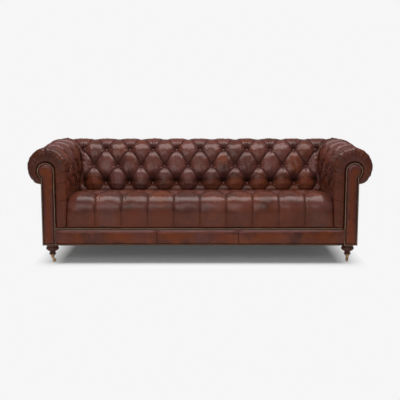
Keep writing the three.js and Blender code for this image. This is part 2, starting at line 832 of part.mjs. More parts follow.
// Facing panel and its studded edging, for the right arm
function facingShape(inset) {
  const left = facingInnerX + inset;
  const right = sideX - inset;
  const foot = coverUnderside + inset;
  const radius = facingHeadRadius - inset;
  const last = -THREE.MathUtils.radToDeg(Math.acos((right - facingHeadX) / radius));
  const head = circlePoints([facingHeadX, facingHeadHeight], radius, last, 180, roundSegments);
  return shapeOf([[left, foot], [right, foot], ...head]);
}

function facingPanel() {
  const rim = frontY + studStripSetback + studStripThickness + gap;
  const board = frontPlate(facingShape(0), rim, facingBackY - rim);
  const bevel = facingCrown;
  const crown = new THREE.ExtrudeGeometry(facingShape(facingCrownInset), {
    depth: facingCrown,
    bevelEnabled: true,
    bevelThickness: bevel,
    bevelSize: bevel / 2,
    bevelOffset: -bevel / 2,
    bevelSegments: 2,
    curveSegments: 1,
  }).rotateX(Math.PI / 2).translate(0, frontY + 2 * facingCrown, 0);
  return toGeometry(toSolid(board).add(toSolid(crown)));
}

function facingStudStrip() {
  const shape = facingShape(gap);
  shape.holes.push(new THREE.Path(facingShape(gap + studStripWidth).getPoints().reverse()));
  return frontPlate(shape, frontY + studStripSetback, studStripThickness);
}

// Front border: flat edges under the stud strips, and a low crown between them
function frontBorder() {
  const rim = frontY + studStripSetback + studStripThickness + gap;
  const low = coverUnderside;
  const inset = studStripWidth + 2 * gap;
  const points = [
    [borderBackY, low], [rim, low], [rim, low + inset], [frontY + studStripSetback, low + 3 * inset],
    [frontY, low + borderHeight / 2], [frontY + studStripSetback, borderTop - 3 * inset],
    [rim, borderTop - inset], [rim, borderTop], [borderBackY, borderTop],
  ];
  const half = facingInnerX - gap;
  return endPlate(shapeOf(points), -half, 2 * half);
}

function borderStudStrip(foot) {
  const half = facingInnerX - gap;
  const y = [frontY + studStripSetback, frontY + studStripSetback + studStripThickness];
  return box([-half, half], y, [foot, foot + studStripWidth]);
}

// Flat outside covers
function outsideArmPanel() {
  const top = armRollAxisHeight - Math.sqrt(rollRadius ** 2 - sideOut ** 2) - gap;
  const front = facingBackY + gap;
  const rear = backSideY - coverThickness - gap;
  const points = [
    [front, coverUnderside], [rear, coverUnderside], [rear, top + backRollRise],
    [backFaceY, top + backRollRise], [front, top],
  ];
  return endPlate(shapeOf(points), sideX - coverThickness, coverThickness);
}

function outsideBackPanel() {
  const top = backRollHeight - Math.sqrt(rollRadius ** 2 - sideOut ** 2) - gap;
  return box([-sideX, sideX], [backSideY - coverThickness, backSideY], [coverUnderside, top]);
}

function dustCover() {
  const half = footX - footBulgeRadius - dustCoverSideClearance;
  const top = coverUnderside - gap;
  return box([-half, half], [borderBackY + gap, backRailRearY], [top - dustCoverThickness, top]);
}

// Feet, built about their own axis
function frontFoot() {
  const height = footTop - castorHeight;
  const outline = footOutlineShares.map(([r, h]) => [r * footBulgeRadius, castorHeight + h * height]);
  const stud = [[studRadius, footTop], [studRadius, footTop + studLength], [0, footTop + studLength]];
  return turned([[0, castorHeight], ...outline, ...stud]);
}

function rearFoot() {
  const corner = Math.SQRT1_2;
  const leg = new THREE.CylinderGeometry(rearFootTop * corner, rearFootBottom * corner, footTop, 4);
  leg.rotateY(Math.PI / 4).rotateX(Math.PI / 2).translate(0, 0, footTop / 2);
  const stud = new THREE.CylinderGeometry(studRadius, studRadius, studLength + overrun, smallSegments);
  stud.rotateX(Math.PI / 2).translate(0, 0, footTop + (studLength - overrun) / 2);
  return toGeometry(toSolid(leg).add(toSolid(stud)));
}

// Castor pieces, built about the swivel axis with the wheel trailing towards +X
function castorCup() {
  const top = castorHeight - gap;
  const bore = swivelPinRadius + gap;
  const floor = forkPlateTop + gap;
  return turned([
    [0, top], [cupTopRadius, top], [cupLipRadius, top - cupLipHeight / 2], [cupTopRadius, top - cupLipHeight],
    [cupWaistRadius, cupWaistHeight], [cupBottomRadius, floor], [bore, floor],
    [bore, swivelPinTop + cupPinRoom], [0, swivelPinTop + cupPinRoom],
  ].reverse(), smallSegments);
}

function castorFork() {
  const stem = turned([
    [0, forkPlateBottom], [forkPlateRadius - forkPlateEdge, forkPlateBottom],
    [forkPlateRadius, forkPlateBottom + forkPlateEdge], [forkPlateRadius, forkPlateTop],
    [swivelPinRadius, forkPlateTop], [swivelPinRadius, swivelPinTop], [0, swivelPinTop],
  ], smallSegments);
  const boss = circlePoints([castorTrail, wheelRadius], cheekBossRadius, -150, 30, arcPoints / 2);
  const shape = shapeOf([
    [-forkPlateEdge, forkPlateBottom + forkPlateEdge], ...boss, [forkPlateRadius - forkPlateEdge,
      forkPlateBottom + forkPlateEdge],
  ]);
  shape.holes.push(roundHole([castorTrail, wheelRadius], axleRadius + gap));
  const near = wheelWidth / 2 + cheekClearance;
  let fork = toSolid(stem);
  for (const y of [near, -near - cheekThickness]) {
    fork = fork.add(toSolid(frontPlate(shape, y, cheekThickness)));
  }
  return toGeometry(fork);
}

function castorAxle() {
  const length = wheelWidth + 2 * (cheekClearance + cheekThickness + axleOverhang);
  return new THREE.CylinderGeometry(axleRadius, axleRadius, length, smallSegments)
    .translate(castorTrail, 0, wheelRadius);
}

function castorWheel() {
  const bore = axleRadius + gap;
  const half = wheelWidth / 2;
  const rim = wheelRadius - wheelEdge;
  const points = [
    [bore, -half], [rim, -half], [wheelRadius, -half + wheelEdge], [wheelRadius, half - wheelEdge],
    [rim, half], [bore, half], [bore, -half],
  ].map(([r, y]) => new THREE.Vector2(r, y));
  return new THREE.LatheGeometry(points, roundSegments).translate(castorTrail, 0, wheelRadius);
}

// The scene graph
const sofa = new THREE.Group();
sofa.name = 'buttoned_roll_arm_sofa';

function add(name, geometry, finish, place = [0, 0, 0], turn = 0) {
  const mesh = new THREE.Mesh(geometry, new THREE.MeshStandardMaterial(finishes[finish]));
  mesh.name = name;
  mesh.position.set(...place);
  mesh.rotation.z = turn;
  sofa.add(mesh);
}

// A piece of the right arm as it is, and its mirror image for the left arm
function mirrored(geometry) {
  const copy = geometry.clone().scale(-1, 1, 1);
  if (!copy.index) {
    copy.setIndex(Array.from({ length: copy.attributes.position.count }, (_, i) => i));
  }
  return faceOutwards(copy);
}

function addPair(name, geometry, finish) {
  add(`${name}_left`, mirrored(geometry), finish);
  add(`${name}_right`, geometry, finish);
}

add('front_rail', frontRail(), 'frameWood');
add('back_rail', backRail(), 'frameWood');
addPair('side_rail', sideRail(), 'frameWood');
add('seat_stretcher', box(
  [-stretcherWidth / 2, stretcherWidth / 2], [railBackY, backRailFrontY - gap],
  [coverUnderside, railTop - stretcherDrop],
), 'frameWood');
addPair('front_corner_block', frontBlock(), 'frameWood');
addPair('rear_corner_block', rearBlock(), 'frameWood');
addPair('arm_front_board', armFrontBoard(), 'ply');
addPair('arm_rear_board', armRearBoard(), 'ply');
addPair('arm_top_rail', armTopRail(), 'frameWood');
addPair('arm_tack_rail', armTackRail(), 'frameWood');
addPair('arm_liner', armLiner(), 'ply');
addPair('back_board_inner', backBoard(backBoardInner), 'ply');
addPair('back_board_outer', backBoard(backBoardOuter), 'ply');
add('back_top_rail', backTopRail(), 'frameWood');
add('back_tack_rail', backTackRail(), 'frameWood');
add('back_liner', backLiner(), 'ply');
addPair('seat_spring_inner', seatSpring(springInnerX), 'springSteel');
addPair('seat_spring_outer', seatSpring(springOuterX), 'springSteel');
add('seat_hessian', seatHessian(), 'hessian');
add('seat_foam', seatFoam(), 'foam');
add('seat_pad', seatPad(), 'leather');
add('back_pad', backPad(), 'leather');
addPair('arm_pad', armPad(), 'leather');
add('front_border', frontBorder(), 'borderLeather');
addPair('facing_panel', facingPanel(), 'borderLeather');
addPair('outside_arm_panel', outsideArmPanel(), 'leather');
add('outside_back_panel', outsideBackPanel(), 'leather');
add('dust_cover', dustCover(), 'blackCloth');
add('border_stud_strip_lower', borderStudStrip(coverUnderside + gap), 'agedBrass');
add('border_stud_strip_upper', borderStudStrip(borderTop - studStripWidth - gap), 'agedBrass');
addPair('facing_stud_strip', facingStudStrip(), 'agedBrass');

for (const [side, x] of [['left', -footX], ['right', footX]]) {
  // The left castor trails across to the right, and the right one trails back
  const turn = side === 'left' ? 0 : Math.PI / 2;
  const place = [x, footY, 0];
  add(`front_foot_${side}`, frontFoot(), 'polishedWood', place);
  add(`rear_foot_${side}`, rearFoot(), 'polishedWood', [x, rearFootY, 0]);
  add(`castor_cup_${side}`, castorCup(), 'agedBrass', place);
  add(`castor_fork_${side}`, castorFork(), 'agedBrass', place, turn);
  add(`castor_axle_${side}`, castorAxle(), 'agedBrass', place, turn);
  add(`castor_wheel_${side}`, castorWheel(), 'agedBrass', place, turn);
}

export default sofa;
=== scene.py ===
"""Buttoned roll-arm sofa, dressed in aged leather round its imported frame. Metres, +Z up, front at -Y."""
import math

import bmesh
import bpy
import numpy as np
from mathutils import Matrix, Vector


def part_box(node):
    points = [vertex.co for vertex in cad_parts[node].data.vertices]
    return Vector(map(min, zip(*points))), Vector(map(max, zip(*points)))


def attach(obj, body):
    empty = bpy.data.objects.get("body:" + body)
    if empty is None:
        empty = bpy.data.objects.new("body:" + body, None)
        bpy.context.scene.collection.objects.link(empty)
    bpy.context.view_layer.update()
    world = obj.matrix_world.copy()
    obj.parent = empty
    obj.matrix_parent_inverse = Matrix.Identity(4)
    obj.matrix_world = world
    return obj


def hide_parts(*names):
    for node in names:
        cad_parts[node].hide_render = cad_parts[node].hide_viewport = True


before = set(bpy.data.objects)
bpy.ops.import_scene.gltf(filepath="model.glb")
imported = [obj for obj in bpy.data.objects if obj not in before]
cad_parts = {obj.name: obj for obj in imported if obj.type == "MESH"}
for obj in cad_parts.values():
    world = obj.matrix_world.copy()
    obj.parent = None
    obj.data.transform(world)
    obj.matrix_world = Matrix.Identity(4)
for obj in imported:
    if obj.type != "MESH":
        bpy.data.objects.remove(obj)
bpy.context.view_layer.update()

bl_info = {
    "name": "Buttoned roll-arm sofa",
    "version": (1, 0, 0),
    "blender": (4, 5, 0),
    "location": "View3D > Sidebar > Sofa",
    "description": "Dresses the sofa's frame in buttoned leather, with its nails, feet, castors and studio",
    "category": "Object",
}

# Places of the frame
BORDER_LOW, BORDER_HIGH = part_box("front_border")
FACING_LOW, FACING_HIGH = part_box("facing_panel_right")
ARM_COVER_LOW, ARM_COVER_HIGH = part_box("outside_arm_panel_right")
BACK_COVER_LOW, BACK_COVER_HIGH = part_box("outside_back_panel")
FRONT_Y = BORDER_LOW.y
BORDER_FOOT = BORDER_LOW.z
BORDER_TOP = BORDER_HIGH.z
BORDER_END_X = BORDER_HIGH.x
FACING_INNER_X = FACING_LOW.x
SIDE_X = ARM_COVER_HIGH.x
BACK_SIDE_Y = BACK_COVER_HIGH.y
SEAT_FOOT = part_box("seat_pad")[0].z
SEAT_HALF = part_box("seat_pad")[1].x
BACK_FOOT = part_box("back_pad")[0].z

# The rolls and the sections of arms and back
TOUCH = 0.0003           # what is left between two pieces that rest on each other
ROLL_RADIUS = 0.12
SIDE_OUT = 0.041         # from a roll's axis out to the cover under it
ROLL_X = SIDE_X - SIDE_OUT
BACK_ROLL_Y = BACK_SIDE_Y - SIDE_OUT
ARM_AXIS_HEIGHT = 0.638
BACK_RISE = 0.01         # how much higher the back's roll is than the arms'
KNEE_HEIGHT = 0.43       # where the upright foot of a section starts to lean
KNEE_EASE = 0.03
BACK_FACE_DEPTH = 0.2
BACK_FACE_Y = BACK_ROLL_Y - BACK_FACE_DEPTH
PAD_THICKNESS = 0.038
TAIL_THICKNESS = 0.0047
MITRE_GAP = 0.0012
SHOULDER = 0.021         # fullness of the rolls' outer shoulders at the corners
SHOULDER_ANGLE = 46
SHOULDER_SPREAD = 26
COVER_THICKNESS = 0.0047

# The front of the arms, and the facings on it
FRONT_ROUND = 0.026
LIP_Y = FRONT_Y + 0.01
LIP_THICKNESS = 0.014
LIP_CLEARANCE = 0.0009
ARM_START_Y = LIP_Y + FRONT_ROUND
FACING_WIDTH = 0.09
FACING_HEAD_RADIUS = 0.057
FACING_HEAD_HEIGHT = 0.615
FACING_HEAD_X = FACING_INNER_X + FACING_HEAD_RADIUS
STRIP_Y = FRONT_Y + 0.0039    # face of the strips that the nails stand on
NAIL_INSET = 0.0052

# The seat's section
SEAT_FACE_Y = FRONT_Y + 0.012
SEAT_EDGE_RADIUS = 0.086
SEAT_EDGE_HEIGHT = 0.452
SEAT_CROWN = (FRONT_Y + 0.365, 0.453)
SEAT_BACK = (BACK_FACE_Y - TOUCH, 0.386)
SEAT_FIRST_ROW_Y = FRONT_Y + 0.18
SEAT_ROW_SPACING = 0.13
SEAT_THICKNESS = 0.045
SEAT_EVEN_COLUMNS = 4    # pitches from the middle to the last full panel

# Grids of the pads: even about their middles, and shared out to the mitres beyond
CELLS = 16               # cells between two rows of buttons
COARSE_CELLS = 6         # cells taken together where a pad is hidden
BACK_HIDDEN = 0.15       # how much of the back's section, from its foot, the seat hides
ARM_HIDDEN = 0.12
BACK_ROWS = 4
ARM_ROWS = 2
SEAT_ROWS = 4
FIRST_ARM_PLEAT = -0.25
EVEN_BACK_REACH = 0.85
EVEN_ARM_REACH = 0.105 - ARM_START_Y
ENDING = 0.15            # what the columns from a pad's even part to its mitre are spread over
BACK_ENDING_COLUMNS = 22
ARM_ENDING_COLUMNS = 40
SEAMS = (-0.2835, 0.2541)     # places along X of the two seams of the border

# Draws that keep each surface's unevenness the same every time
BACK_SEED = 3
BACK_LOOSE_SEED = 11
ARM_SEED = 20
SEAT_SEED = 41
SEAT_CRINKLE_SEED = 51
SEAT_LOOSE_SEED = 52
BORDER_SEEDS = (61, 62, 63, 64)
NAIL_SEED = 7

CAMERA_PLACE = (0.0, -5.386, 1.163)
CAMERA_TILT = 8.5
CAMERA_LENS = 68.4
CAMERA_SENSOR = 36
SIDES = ((-1, "left"), (1, "right"))


# Settings

def length_setting(name, description, default):
    return bpy.props.FloatProperty(name=name, description=description, default=default, unit="LENGTH")


def colour_setting(name, description, default):
    return bpy.props.FloatVectorProperty(
        name=name, description=description, default=default, subtype="COLOR", min=0, max=1)


class ButtoningSettings(bpy.types.PropertyGroup):
    pitch: length_setting("Pitch", "Distance between buttons along a row of the back and seat", 0.1735)
    arm_pitch: length_setting("Arm pitch", "Distance between buttons along a row of an arm", 0.21)
    roll_spacing: length_setting(
        "Roll spacing", "Distance over the roll from the first row seen to the one behind it", 0.1905)
    row_spacing: length_setting("Row spacing", "Distance between two rows of buttons", 0.127)
    crown: length_setting("Crown", "How far a diamond swells out at its middle", 0.0105)
    pleat_depth: length_setting("Pleat depth", "Depth of a pleat below the middle of a diamond", 0.019)
    button_depth: length_setting("Button depth", "How much deeper than its pleats a button sits", 0.016)
    button_radius: length_setting("Button radius", "Radius of a covered button", 0.0085)


class TrimSettings(bpy.types.PropertyGroup):
    nail_radius: length_setting("Nail radius", "Radius of a brass nail's head", 0.0036)
    nail_pitch: length_setting("Nail pitch", "Distance between two nails", 0.01375)
    welt_radius: length_setting("Welt radius", "Radius of the welts of the outside covers", 0.0032)


class FinishSettings(bpy.types.PropertyGroup):
    leather: colour_setting("Leather", "Main colour of the leather", (0.08, 0.0232, 0.0146))
    leather_warm: colour_setting(
        "Worn leather", "Colour where the finish has rubbed thin", (0.116, 0.0285, 0.0108))
    # The waxed colour is also the painted shade, laid into hollows, pleats and places turned from the light
    leather_wax_and_shade: colour_setting(
        "Waxed leather", "Colour in the folds, where wax has gathered", (0.012, 0.004, 0.003))
    brass: colour_setting("Brass", "Colour of the castors", (0.72, 0.48, 0.26))
    nail_brass: colour_setting("Nail brass", "Colour of the dulled nails", (0.62, 0.42, 0.27))
    foot_wood: colour_setting("Foot wood", "Colour of the polished feet", (0.075, 0.02, 0.01))


class StageSettings(bpy.types.PropertyGroup):
    backdrop: bpy.props.FloatProperty(
        name="Backdrop", description="Brightness of floor and backdrop as the camera sees them",
        default=0.922, min=0, max=1)
    top_light: bpy.props.FloatProperty(
        name="Top light", description="Power of the soft light overhead", default=105, unit="POWER")
    front_light: bpy.props.FloatProperty(
        name="Front light", description="Power of the soft light in front", default=62, unit="POWER")
    dome: bpy.props.FloatProperty(
        name="Dome", description="Strength of the pale surroundings", default=0.22, min=0, max=2)


# Materials

class Shader:
    """Builds the nodes of a material or a world. An input is a number, a colour, or another's socket."""

    def __init__(self, owner):
        self.owner = owner
        self.owner.use_nodes = True
        self.tree = owner.node_tree
        self.tree.nodes.clear()

    def node(self, kind, inputs=None, **settings):
        made = self.tree.nodes.new(kind)
        for key, value in settings.items():
            setattr(made, key, value)
        for key, value in (inputs or {}).items():
            socket = made.inputs[key]
            if isinstance(value, bpy.types.NodeSocket):
                self.tree.links.new(value, socket)
            elif socket.type == "RGBA":
                socket.default_value = (*value, 1)
            else:
                socket.default_value = value
        return made

    def place(self, scale=(1, 1, 1)):
        coordinates = self.node("ShaderNodeTexCoord").outputs["Object"]
        return self.node("ShaderNodeMapping", {"Vector": coordinates, "Scale": scale}).outputs["Vector"]

    def noise(self, vector, scale, detail=3.0, roughness=0.5, distortion=0.0):
        return self.node("ShaderNodeTexNoise", {
            "Vector": vector, "Scale": scale, "Detail": detail, "Roughness": roughness,
            "Distortion": distortion,
        }).outputs["Fac"]

    def wave(self, vector, scale, direction, **inputs):
        return self.node(
            "ShaderNodeTexWave", {"Vector": vector, "Scale": scale, **inputs}, bands_direction=direction)

    def cells(self, vector, scale, feature="F1", **inputs):
        return self.node(
            "ShaderNodeTexVoronoi", {"Vector": vector, "Scale": scale, **inputs}, feature=feature,
        ).outputs["Distance"]

    def ramp(self, factor, stops):
        made = self.node("ShaderNodeValToRGB", {"Fac": factor})
        elements = made.color_ramp.elements
        while len(elements) < len(stops):
            elements.new(0.5)
        for element, (place, colour) in zip(elements, stops):
            element.position = place
            element.color = (*colour, 1)
        return made.outputs["Color"]

    def mix(self, factor, one, two, blend="MIX"):
        made = self.node("ShaderNodeMix", {0: factor, 6: one, 7: two}, data_type="RGBA", blend_type=blend)
        return made.outputs[2]

    def math(self, operation, one, two):
        return self.node("ShaderNodeMath", {0: one, 1: two}, operation=operation).outputs[0]

    def spread(self, value, low, high, start=0.0, end=1.0):
        return self.node("ShaderNodeMapRange", {
            "Value": value, "From Min": start, "From Max": end, "To Min": low, "To Max": high,
        }).outputs["Result"]

    def bump(self, height, strength, distance, **under):
        return self.node("ShaderNodeBump", {
            "Height": height, "Strength": strength, "Distance": distance, **under}).outputs["Normal"]

    def attribute(self, name):
        return self.node("ShaderNodeAttribute", attribute_name=name).outputs["Fac"]

    def finish(self, **inputs):
        surface = self.node(
            "ShaderNodeBsdfPrincipled", {key.replace("_", " "): value for key, value in inputs.items()})
        self.node("ShaderNodeOutputMaterial", {"Surface": surface.outputs["BSDF"]}).is_active_output = True
        return self.owner


def new_shader(name):
    return Shader(bpy.data.materials.new(name))


def scaled(colour, share):
    """A colour times one share, or times one for each channel."""
    return tuple(np.multiply(colour, share).tolist())


def leather(name, main, warm, dark, warmth=0.5, gloss_level=0.32):
    """Hand-aged leather: mottled dye, wax and painted shade in the folds, crimson-mauve painted highlights, a
    satin face, fine grain and creases.
    """
    shader = new_shader(name)
    place = shader.place()
    # Patches of dye, lilac bloom and a fine mottle over them
    middle = 0.6 - 0.3 * warmth
    dye = shader.ramp(shader.noise(place, 5.0, 3.0, 0.55, 0.6), [
        (middle - 0.12, scaled(main, 0.56 + 0.6 * warmth)), (middle - 0.03, main),
        (middle + 0.07, scaled(warm, 1.1))])
    blooming = shader.noise(shader.place((1.0, 1.0, 0.6)), 7.5, 2.0, 0.5, 0.3)
    dye = shader.mix(shader.spread(blooming, 0.0, 1.0, 0.5, 0.66), dye, scaled(main, (1.2, 1.15, 1.35)))
    mottle = shader.ramp(shader.noise(place, 34, 4.0, 0.6, 0.3), [
        (0.3, (0.78, 0.76, 0.76)), (0.55, (1.0, 1.0, 1.0)), (0.75, (1.16, 1.1, 1.06))])
    mottled = shader.mix(1.0, dye, mottle, "MULTIPLY")
    # The piece's own folds are darkened, as wax and as painted shade; its worn places are warm, and below
    # nought it goes a brighter crimson-mauve, a painted highlight
    waxed_and_shaded = shader.mix(shader.attribute("fold"), mottled, dark)
    worn = shader.attribute("worn")
    rubbed_and_sheen = shader.mix(shader.spread(worn, 0.0, 0.8), waxed_and_shaded, scaled(warm, 1.12))
    rubbed_and_sheen = shader.mix(shader.spread(worn, 0.8, 0.0, -1.0, 0.0), rubbed_and_sheen, scaled(main, (1.42, 1.64, 2.25)))
    grain = shader.bump(shader.cells(place, 620.0, "SMOOTH_F1", Randomness=0.9), 0.35, 0.0004)
    relief = shader.bump(shader.noise(place, 95, 5.0, 0.6, 1.4), 0.4, 0.0012, Normal=grain)
    gloss = shader.spread(shader.noise(place, 16, 3.0, 0.6), 0.18, 0.3, 0.3, 0.7)
    # Where it is rubbed to its warm dye the finish has also lost some of its shine
    shine = shader.math(
        "MULTIPLY", shader.spread(shader.attribute("fold"), gloss_level, 0.05),
        shader.spread(worn, 1.0, 0.5, 0.0, 0.7))
    return shader.finish(
        Base_Color=rubbed_and_sheen, Roughness=gloss, Normal=relief, Specular_IOR_Level=shine,
        Specular_Tint=(1.0, 0.91, 0.89))


def brass(name, colour):
    """Antique brass: dulled, with darker tarnish in patches."""
    shader = new_shader(name)
    place = shader.place()
    tarnish = shader.noise(place, 160, 3.0, 0.6)
    tone = shader.ramp(tarnish, [(0.35, scaled(colour, 0.5)), (0.62, colour)])
    relief = shader.bump(shader.noise(place, 700, 2.0), 0.15, 0.0002)
    return shader.finish(
        Base_Color=tone, Metallic=1.0, Roughness=shader.spread(tarnish, 0.42, 0.26), Normal=relief)


def polished_wood(name, colour):
    """Stained and polished hardwood, its grain running up the foot."""
    shader = new_shader(name)
    grain = shader.noise(shader.place((60, 60, 7)), 1.6, 5.0, 0.6, 0.7)
    tone = shader.ramp(grain, [(0.3, scaled(colour, 0.45)), (0.55, colour), (0.75, scaled(colour, 1.8))])
    return shader.finish(
        Base_Color=tone, Roughness=shader.spread(grain, 0.28, 0.4), Normal=shader.bump(grain, 0.1, 0.0003),
        Specular_IOR_Level=0.3, Coat_Weight=0.15, Coat_Roughness=0.15)


def plain_wood(name, colour, stretch):
    """Unpolished wood with a lengthwise grain, for the frame."""
    shader = new_shader(name)
    grain = shader.noise(shader.place(stretch), 9.0, 5.0, 0.6, 0.5)
    tone = shader.ramp(grain, [(0.3, scaled(colour, 0.6)), (0.5, colour), (0.7, scaled(colour, 1.2))])
    return shader.finish(
        Base_Color=tone, Roughness=shader.spread(grain, 0.6, 0.8), Normal=shader.bump(grain, 0.2, 0.0006))


def plywood(name, colour):
    """Ply, with its layers showing at the edges."""
    shader = new_shader(name)
    layers = shader.wave(shader.place(), 260.0, "Y", Distortion=1.0, Detail=1.0).outputs["Fac"]
    grain = shader.noise(shader.place((3, 3, 30)), 6.0, 4.0, 0.6)
    face = shader.ramp(grain, [(0.3, scaled(colour, 0.7)), (0.7, colour)])
    tone = shader.mix(layers, face, scaled(colour, 0.75))
    return shader.finish(Base_Color=tone, Roughness=0.7, Normal=shader.bump(layers, 0.15, 0.0003))


def steel(name, colour):
    """Spring wire with patches of mill scale."""
    shader = new_shader(name)
    scale = shader.noise(shader.place(), 120, 4.0, 0.6)
    tone = shader.ramp(scale, [(0.35, scaled(colour, 0.5)), (0.65, colour)])
    return shader.finish(Base_Color=tone, Metallic=1.0, Roughness=shader.spread(scale, 0.35, 0.5))


def woven(name, colour, threads, depth):
    """A plain weave, its threads along X and Y."""
    shader = new_shader(name)
    place = shader.place()
    over, under = (shader.wave(place, threads, way).outputs["Color"] for way in "XY")
    weave = shader.mix(1.0, over, under, "MULTIPLY")
    tone = shader.mix(shader.noise(place, 60, 3.0), scaled(colour, 0.65), scaled(colour, 1.1))
    shaded = shader.mix(weave, scaled(colour, 0.55), tone)
    return shader.finish(
        Base_Color=shaded, Roughness=0.95, Normal=shader.bump(weave, 0.6, depth), Sheen_Weight=0.15)


def foam(name, colour):
    """Seat foam, with its open cells."""
    shader = new_shader(name)
    cells = shader.cells(shader.place(), 420.0)
    tone = shader.ramp(cells, [(0.1, scaled(colour, 0.8)), (0.6, colour)])
    return shader.finish(Base_Color=tone, Roughness=0.95, Normal=shader.bump(cells, 0.5, 0.001))


MATERIALS = {}
BEECH = (0.48, 0.29, 0.14)


def make_materials(finish):
    main, warm, dark = (tuple(v) for v in (finish.leather, finish.leather_warm, finish.leather_wax_and_shade))
    MATERIALS.update({
        "leather": leather("aged_leather", main, scaled(warm, (0.98, 1, 1.2)), dark, 0.3),
        "border_leather": leather("border_leather", scaled(main, 0.97), scaled(warm, 1.12), dark, 0.5, 0.2),
        "aged_brass": brass("antique_brass", tuple(finish.brass)),
        "nail_brass": brass("nail_brass", tuple(finish.nail_brass)),
        "polished_wood": polished_wood("stained_foot_wood", tuple(finish.foot_wood)),
        "frame_wood_x": plain_wood("beech_along_x", BEECH, (1, 14, 14)),
        "frame_wood_y": plain_wood("beech_along_y", BEECH, (14, 1, 14)),
        "ply": plywood("birch_ply", (0.56, 0.38, 0.19)),
        "spring_steel": steel("spring_steel", (0.2, 0.2, 0.21)),
        "hessian": woven("hessian_weave", (0.4, 0.27, 0.13), 95, 0.0008),
        "foam": foam("seat_foam_cells", (0.7, 0.62, 0.4)),
        "black_cloth": woven("black_dust_cloth", (0.02, 0.02, 0.022), 260, 0.0003),
    })


# Mesh helpers

def piece(bm, name, finish, body="sofa", stands_for=()):
    """The finished object of a bmesh, riding on its body."""
    mesh = bpy.data.meshes.new(name)
    bm.to_mesh(mesh)
    bm.free()
    mesh.materials.append(MATERIALS[finish])
    mesh.polygons.foreach_set("use_smooth", [True] * len(mesh.polygons))
    made = bpy.data.objects.new(name, mesh)
    bpy.context.scene.collection.objects.link(made)
    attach(made, body)
    if stands_for:
        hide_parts(*stands_for)
    return made


def sharpen(made, degrees):
    """Keeps the edges of a hard piece crisp."""
    limit = math.radians(degrees)
    bm = bmesh.new()
    bm.from_mesh(made.data)
    for edge in bm.edges:
        edge.smooth = len(edge.link_faces) != 2 or edge.calc_face_angle(0) < limit
    bm.to_mesh(made.data)
    bm.free()


def face_outwards(bm):
    bmesh.ops.recalc_face_normals(bm, faces=bm.faces[:])


def open_edges(bm):
    return [edge for edge in bm.edges if edge.is_boundary]


def wall_back(bm, axis, place):
    """Takes the open rim of a face straight back to a place along an axis, and closes it there."""
    for made in bmesh.ops.extrude_edge_only(bm, edges=open_edges(bm))["geom"]:
        if isinstance(made, bmesh.types.BMVert):
            made.co[axis] = place
    bmesh.ops.contextual_create(bm, geom=open_edges(bm))


def merged_copy(node):
    """A frame part as one clean shell, its flat faces whole."""
    bm = bmesh.new()
    bm.from_mesh(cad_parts[node].data)
    bmesh.ops.remove_doubles(bm, verts=bm.verts[:], dist=1e-5)
    bmesh.ops.dissolve_limit(bm, angle_limit=0.02, verts=bm.verts[:], edges=bm.edges[:])
    return bm


def bevel_edges(bm, edges, width, segments):
    bmesh.ops.bevel(
        bm, geom=edges, offset=width, offset_type="OFFSET", affect="EDGES", segments=segments,
        profile=0.5, material=-1, clamp_overlap=True)
    face_outwards(bm)


def turned(bm, profile, centre=(0, 0, 0), axis="Z", steps=40):
    """A shape turned round an axis from a line of (radius, place along the axis)."""
    def point(radius, along):
        return Vector((radius, 0, along)) if axis == "Z" else Vector((0, along, radius))
    middle = Vector(centre)
    verts = [bm.verts.new(middle + point(radius, along)) for radius, along in profile]
    edges = [bm.edges.new(pair) for pair in zip(verts, verts[1:])]
    bmesh.ops.spin(
        bm, geom=verts + edges, cent=middle, axis=(0, 0, 1) if axis == "Z" else (0, 1, 0),
        angle=2 * math.pi, steps=steps, use_merge=True)
    bmesh.ops.remove_doubles(bm, verts=bm.verts[:], dist=1e-6)
    face_outwards(bm)


def turned_shape(name, profile_shares, radius, steps):
    """A small turned mesh to copy, from its profile as shares of its radius."""
    bm = bmesh.new()
    turned(bm, [(out * radius, up * radius) for out, up in profile_shares], steps=steps)
    mesh = bpy.data.meshes.new(name)
    bm.to_mesh(mesh)
    bm.free()
    return mesh


def welt(start, end, radius, segments=8):
    """A straight round welt between two points."""
    start, end = Vector(start), Vector(end)
    way = (end - start).to_track_quat("Z", "Y").to_matrix().to_4x4()
    bm = bmesh.new()
    bmesh.ops.create_circle(
        bm, cap_ends=True, segments=segments, radius=radius, matrix=Matrix.Translation(start) @ way)
    made = bmesh.ops.extrude_edge_only(bm, edges=bm.edges[:])["geom"]
    bmesh.ops.translate(bm, vec=end - start, verts=[g for g in made if isinstance(g, bmesh.types.BMVert)])
    bmesh.ops.contextual_create(bm, geom=[g for g in made if isinstance(g, bmesh.types.BMEdge)])
    face_outwards(bm)
    return bm


def smooth_share(value, start, end):
    """0 before the start, 1 past the end and an eased share between."""
    share = np.clip((value - start) / (end - start), 0, 1)
    return share * share * (3 - 2 * share)


def bell(distance, width, power=2):
    """1 where there is no distance, fading out past a width."""
    return np.exp(-(distance / width) ** power)


def blend(one, two, share):
    return one * (1 - share) + share * two


def ripple(one, two, size, seed):
    """A smooth uneven surface, from -1 to 1, that comes out the same every time."""
    draws = np.random.default_rng(seed)
    total = np.zeros(np.broadcast(one, two).shape)
    for _ in range(7):
        way, phase = draws.uniform(0, 2 * math.pi, 2)
        stretch = draws.uniform(0.7, 1.6) * 2 * math.pi / size
        total += np.sin(stretch * (one * math.cos(way) + two * math.sin(way)) + phase)
    return total / 4


def cell_draw(one, two, seed):
    """A number from -1 to 1 for each whole cell."""
    mixed = np.sin(one * 127.1 + two * 311.7 + seed * 74.7) * 43758.5453
    return 2 * (mixed - np.floor(mixed)) - 1


def whole_steps(reach, step):
    """How many whole steps a reach holds."""
    return int(reach / step)


# Padding

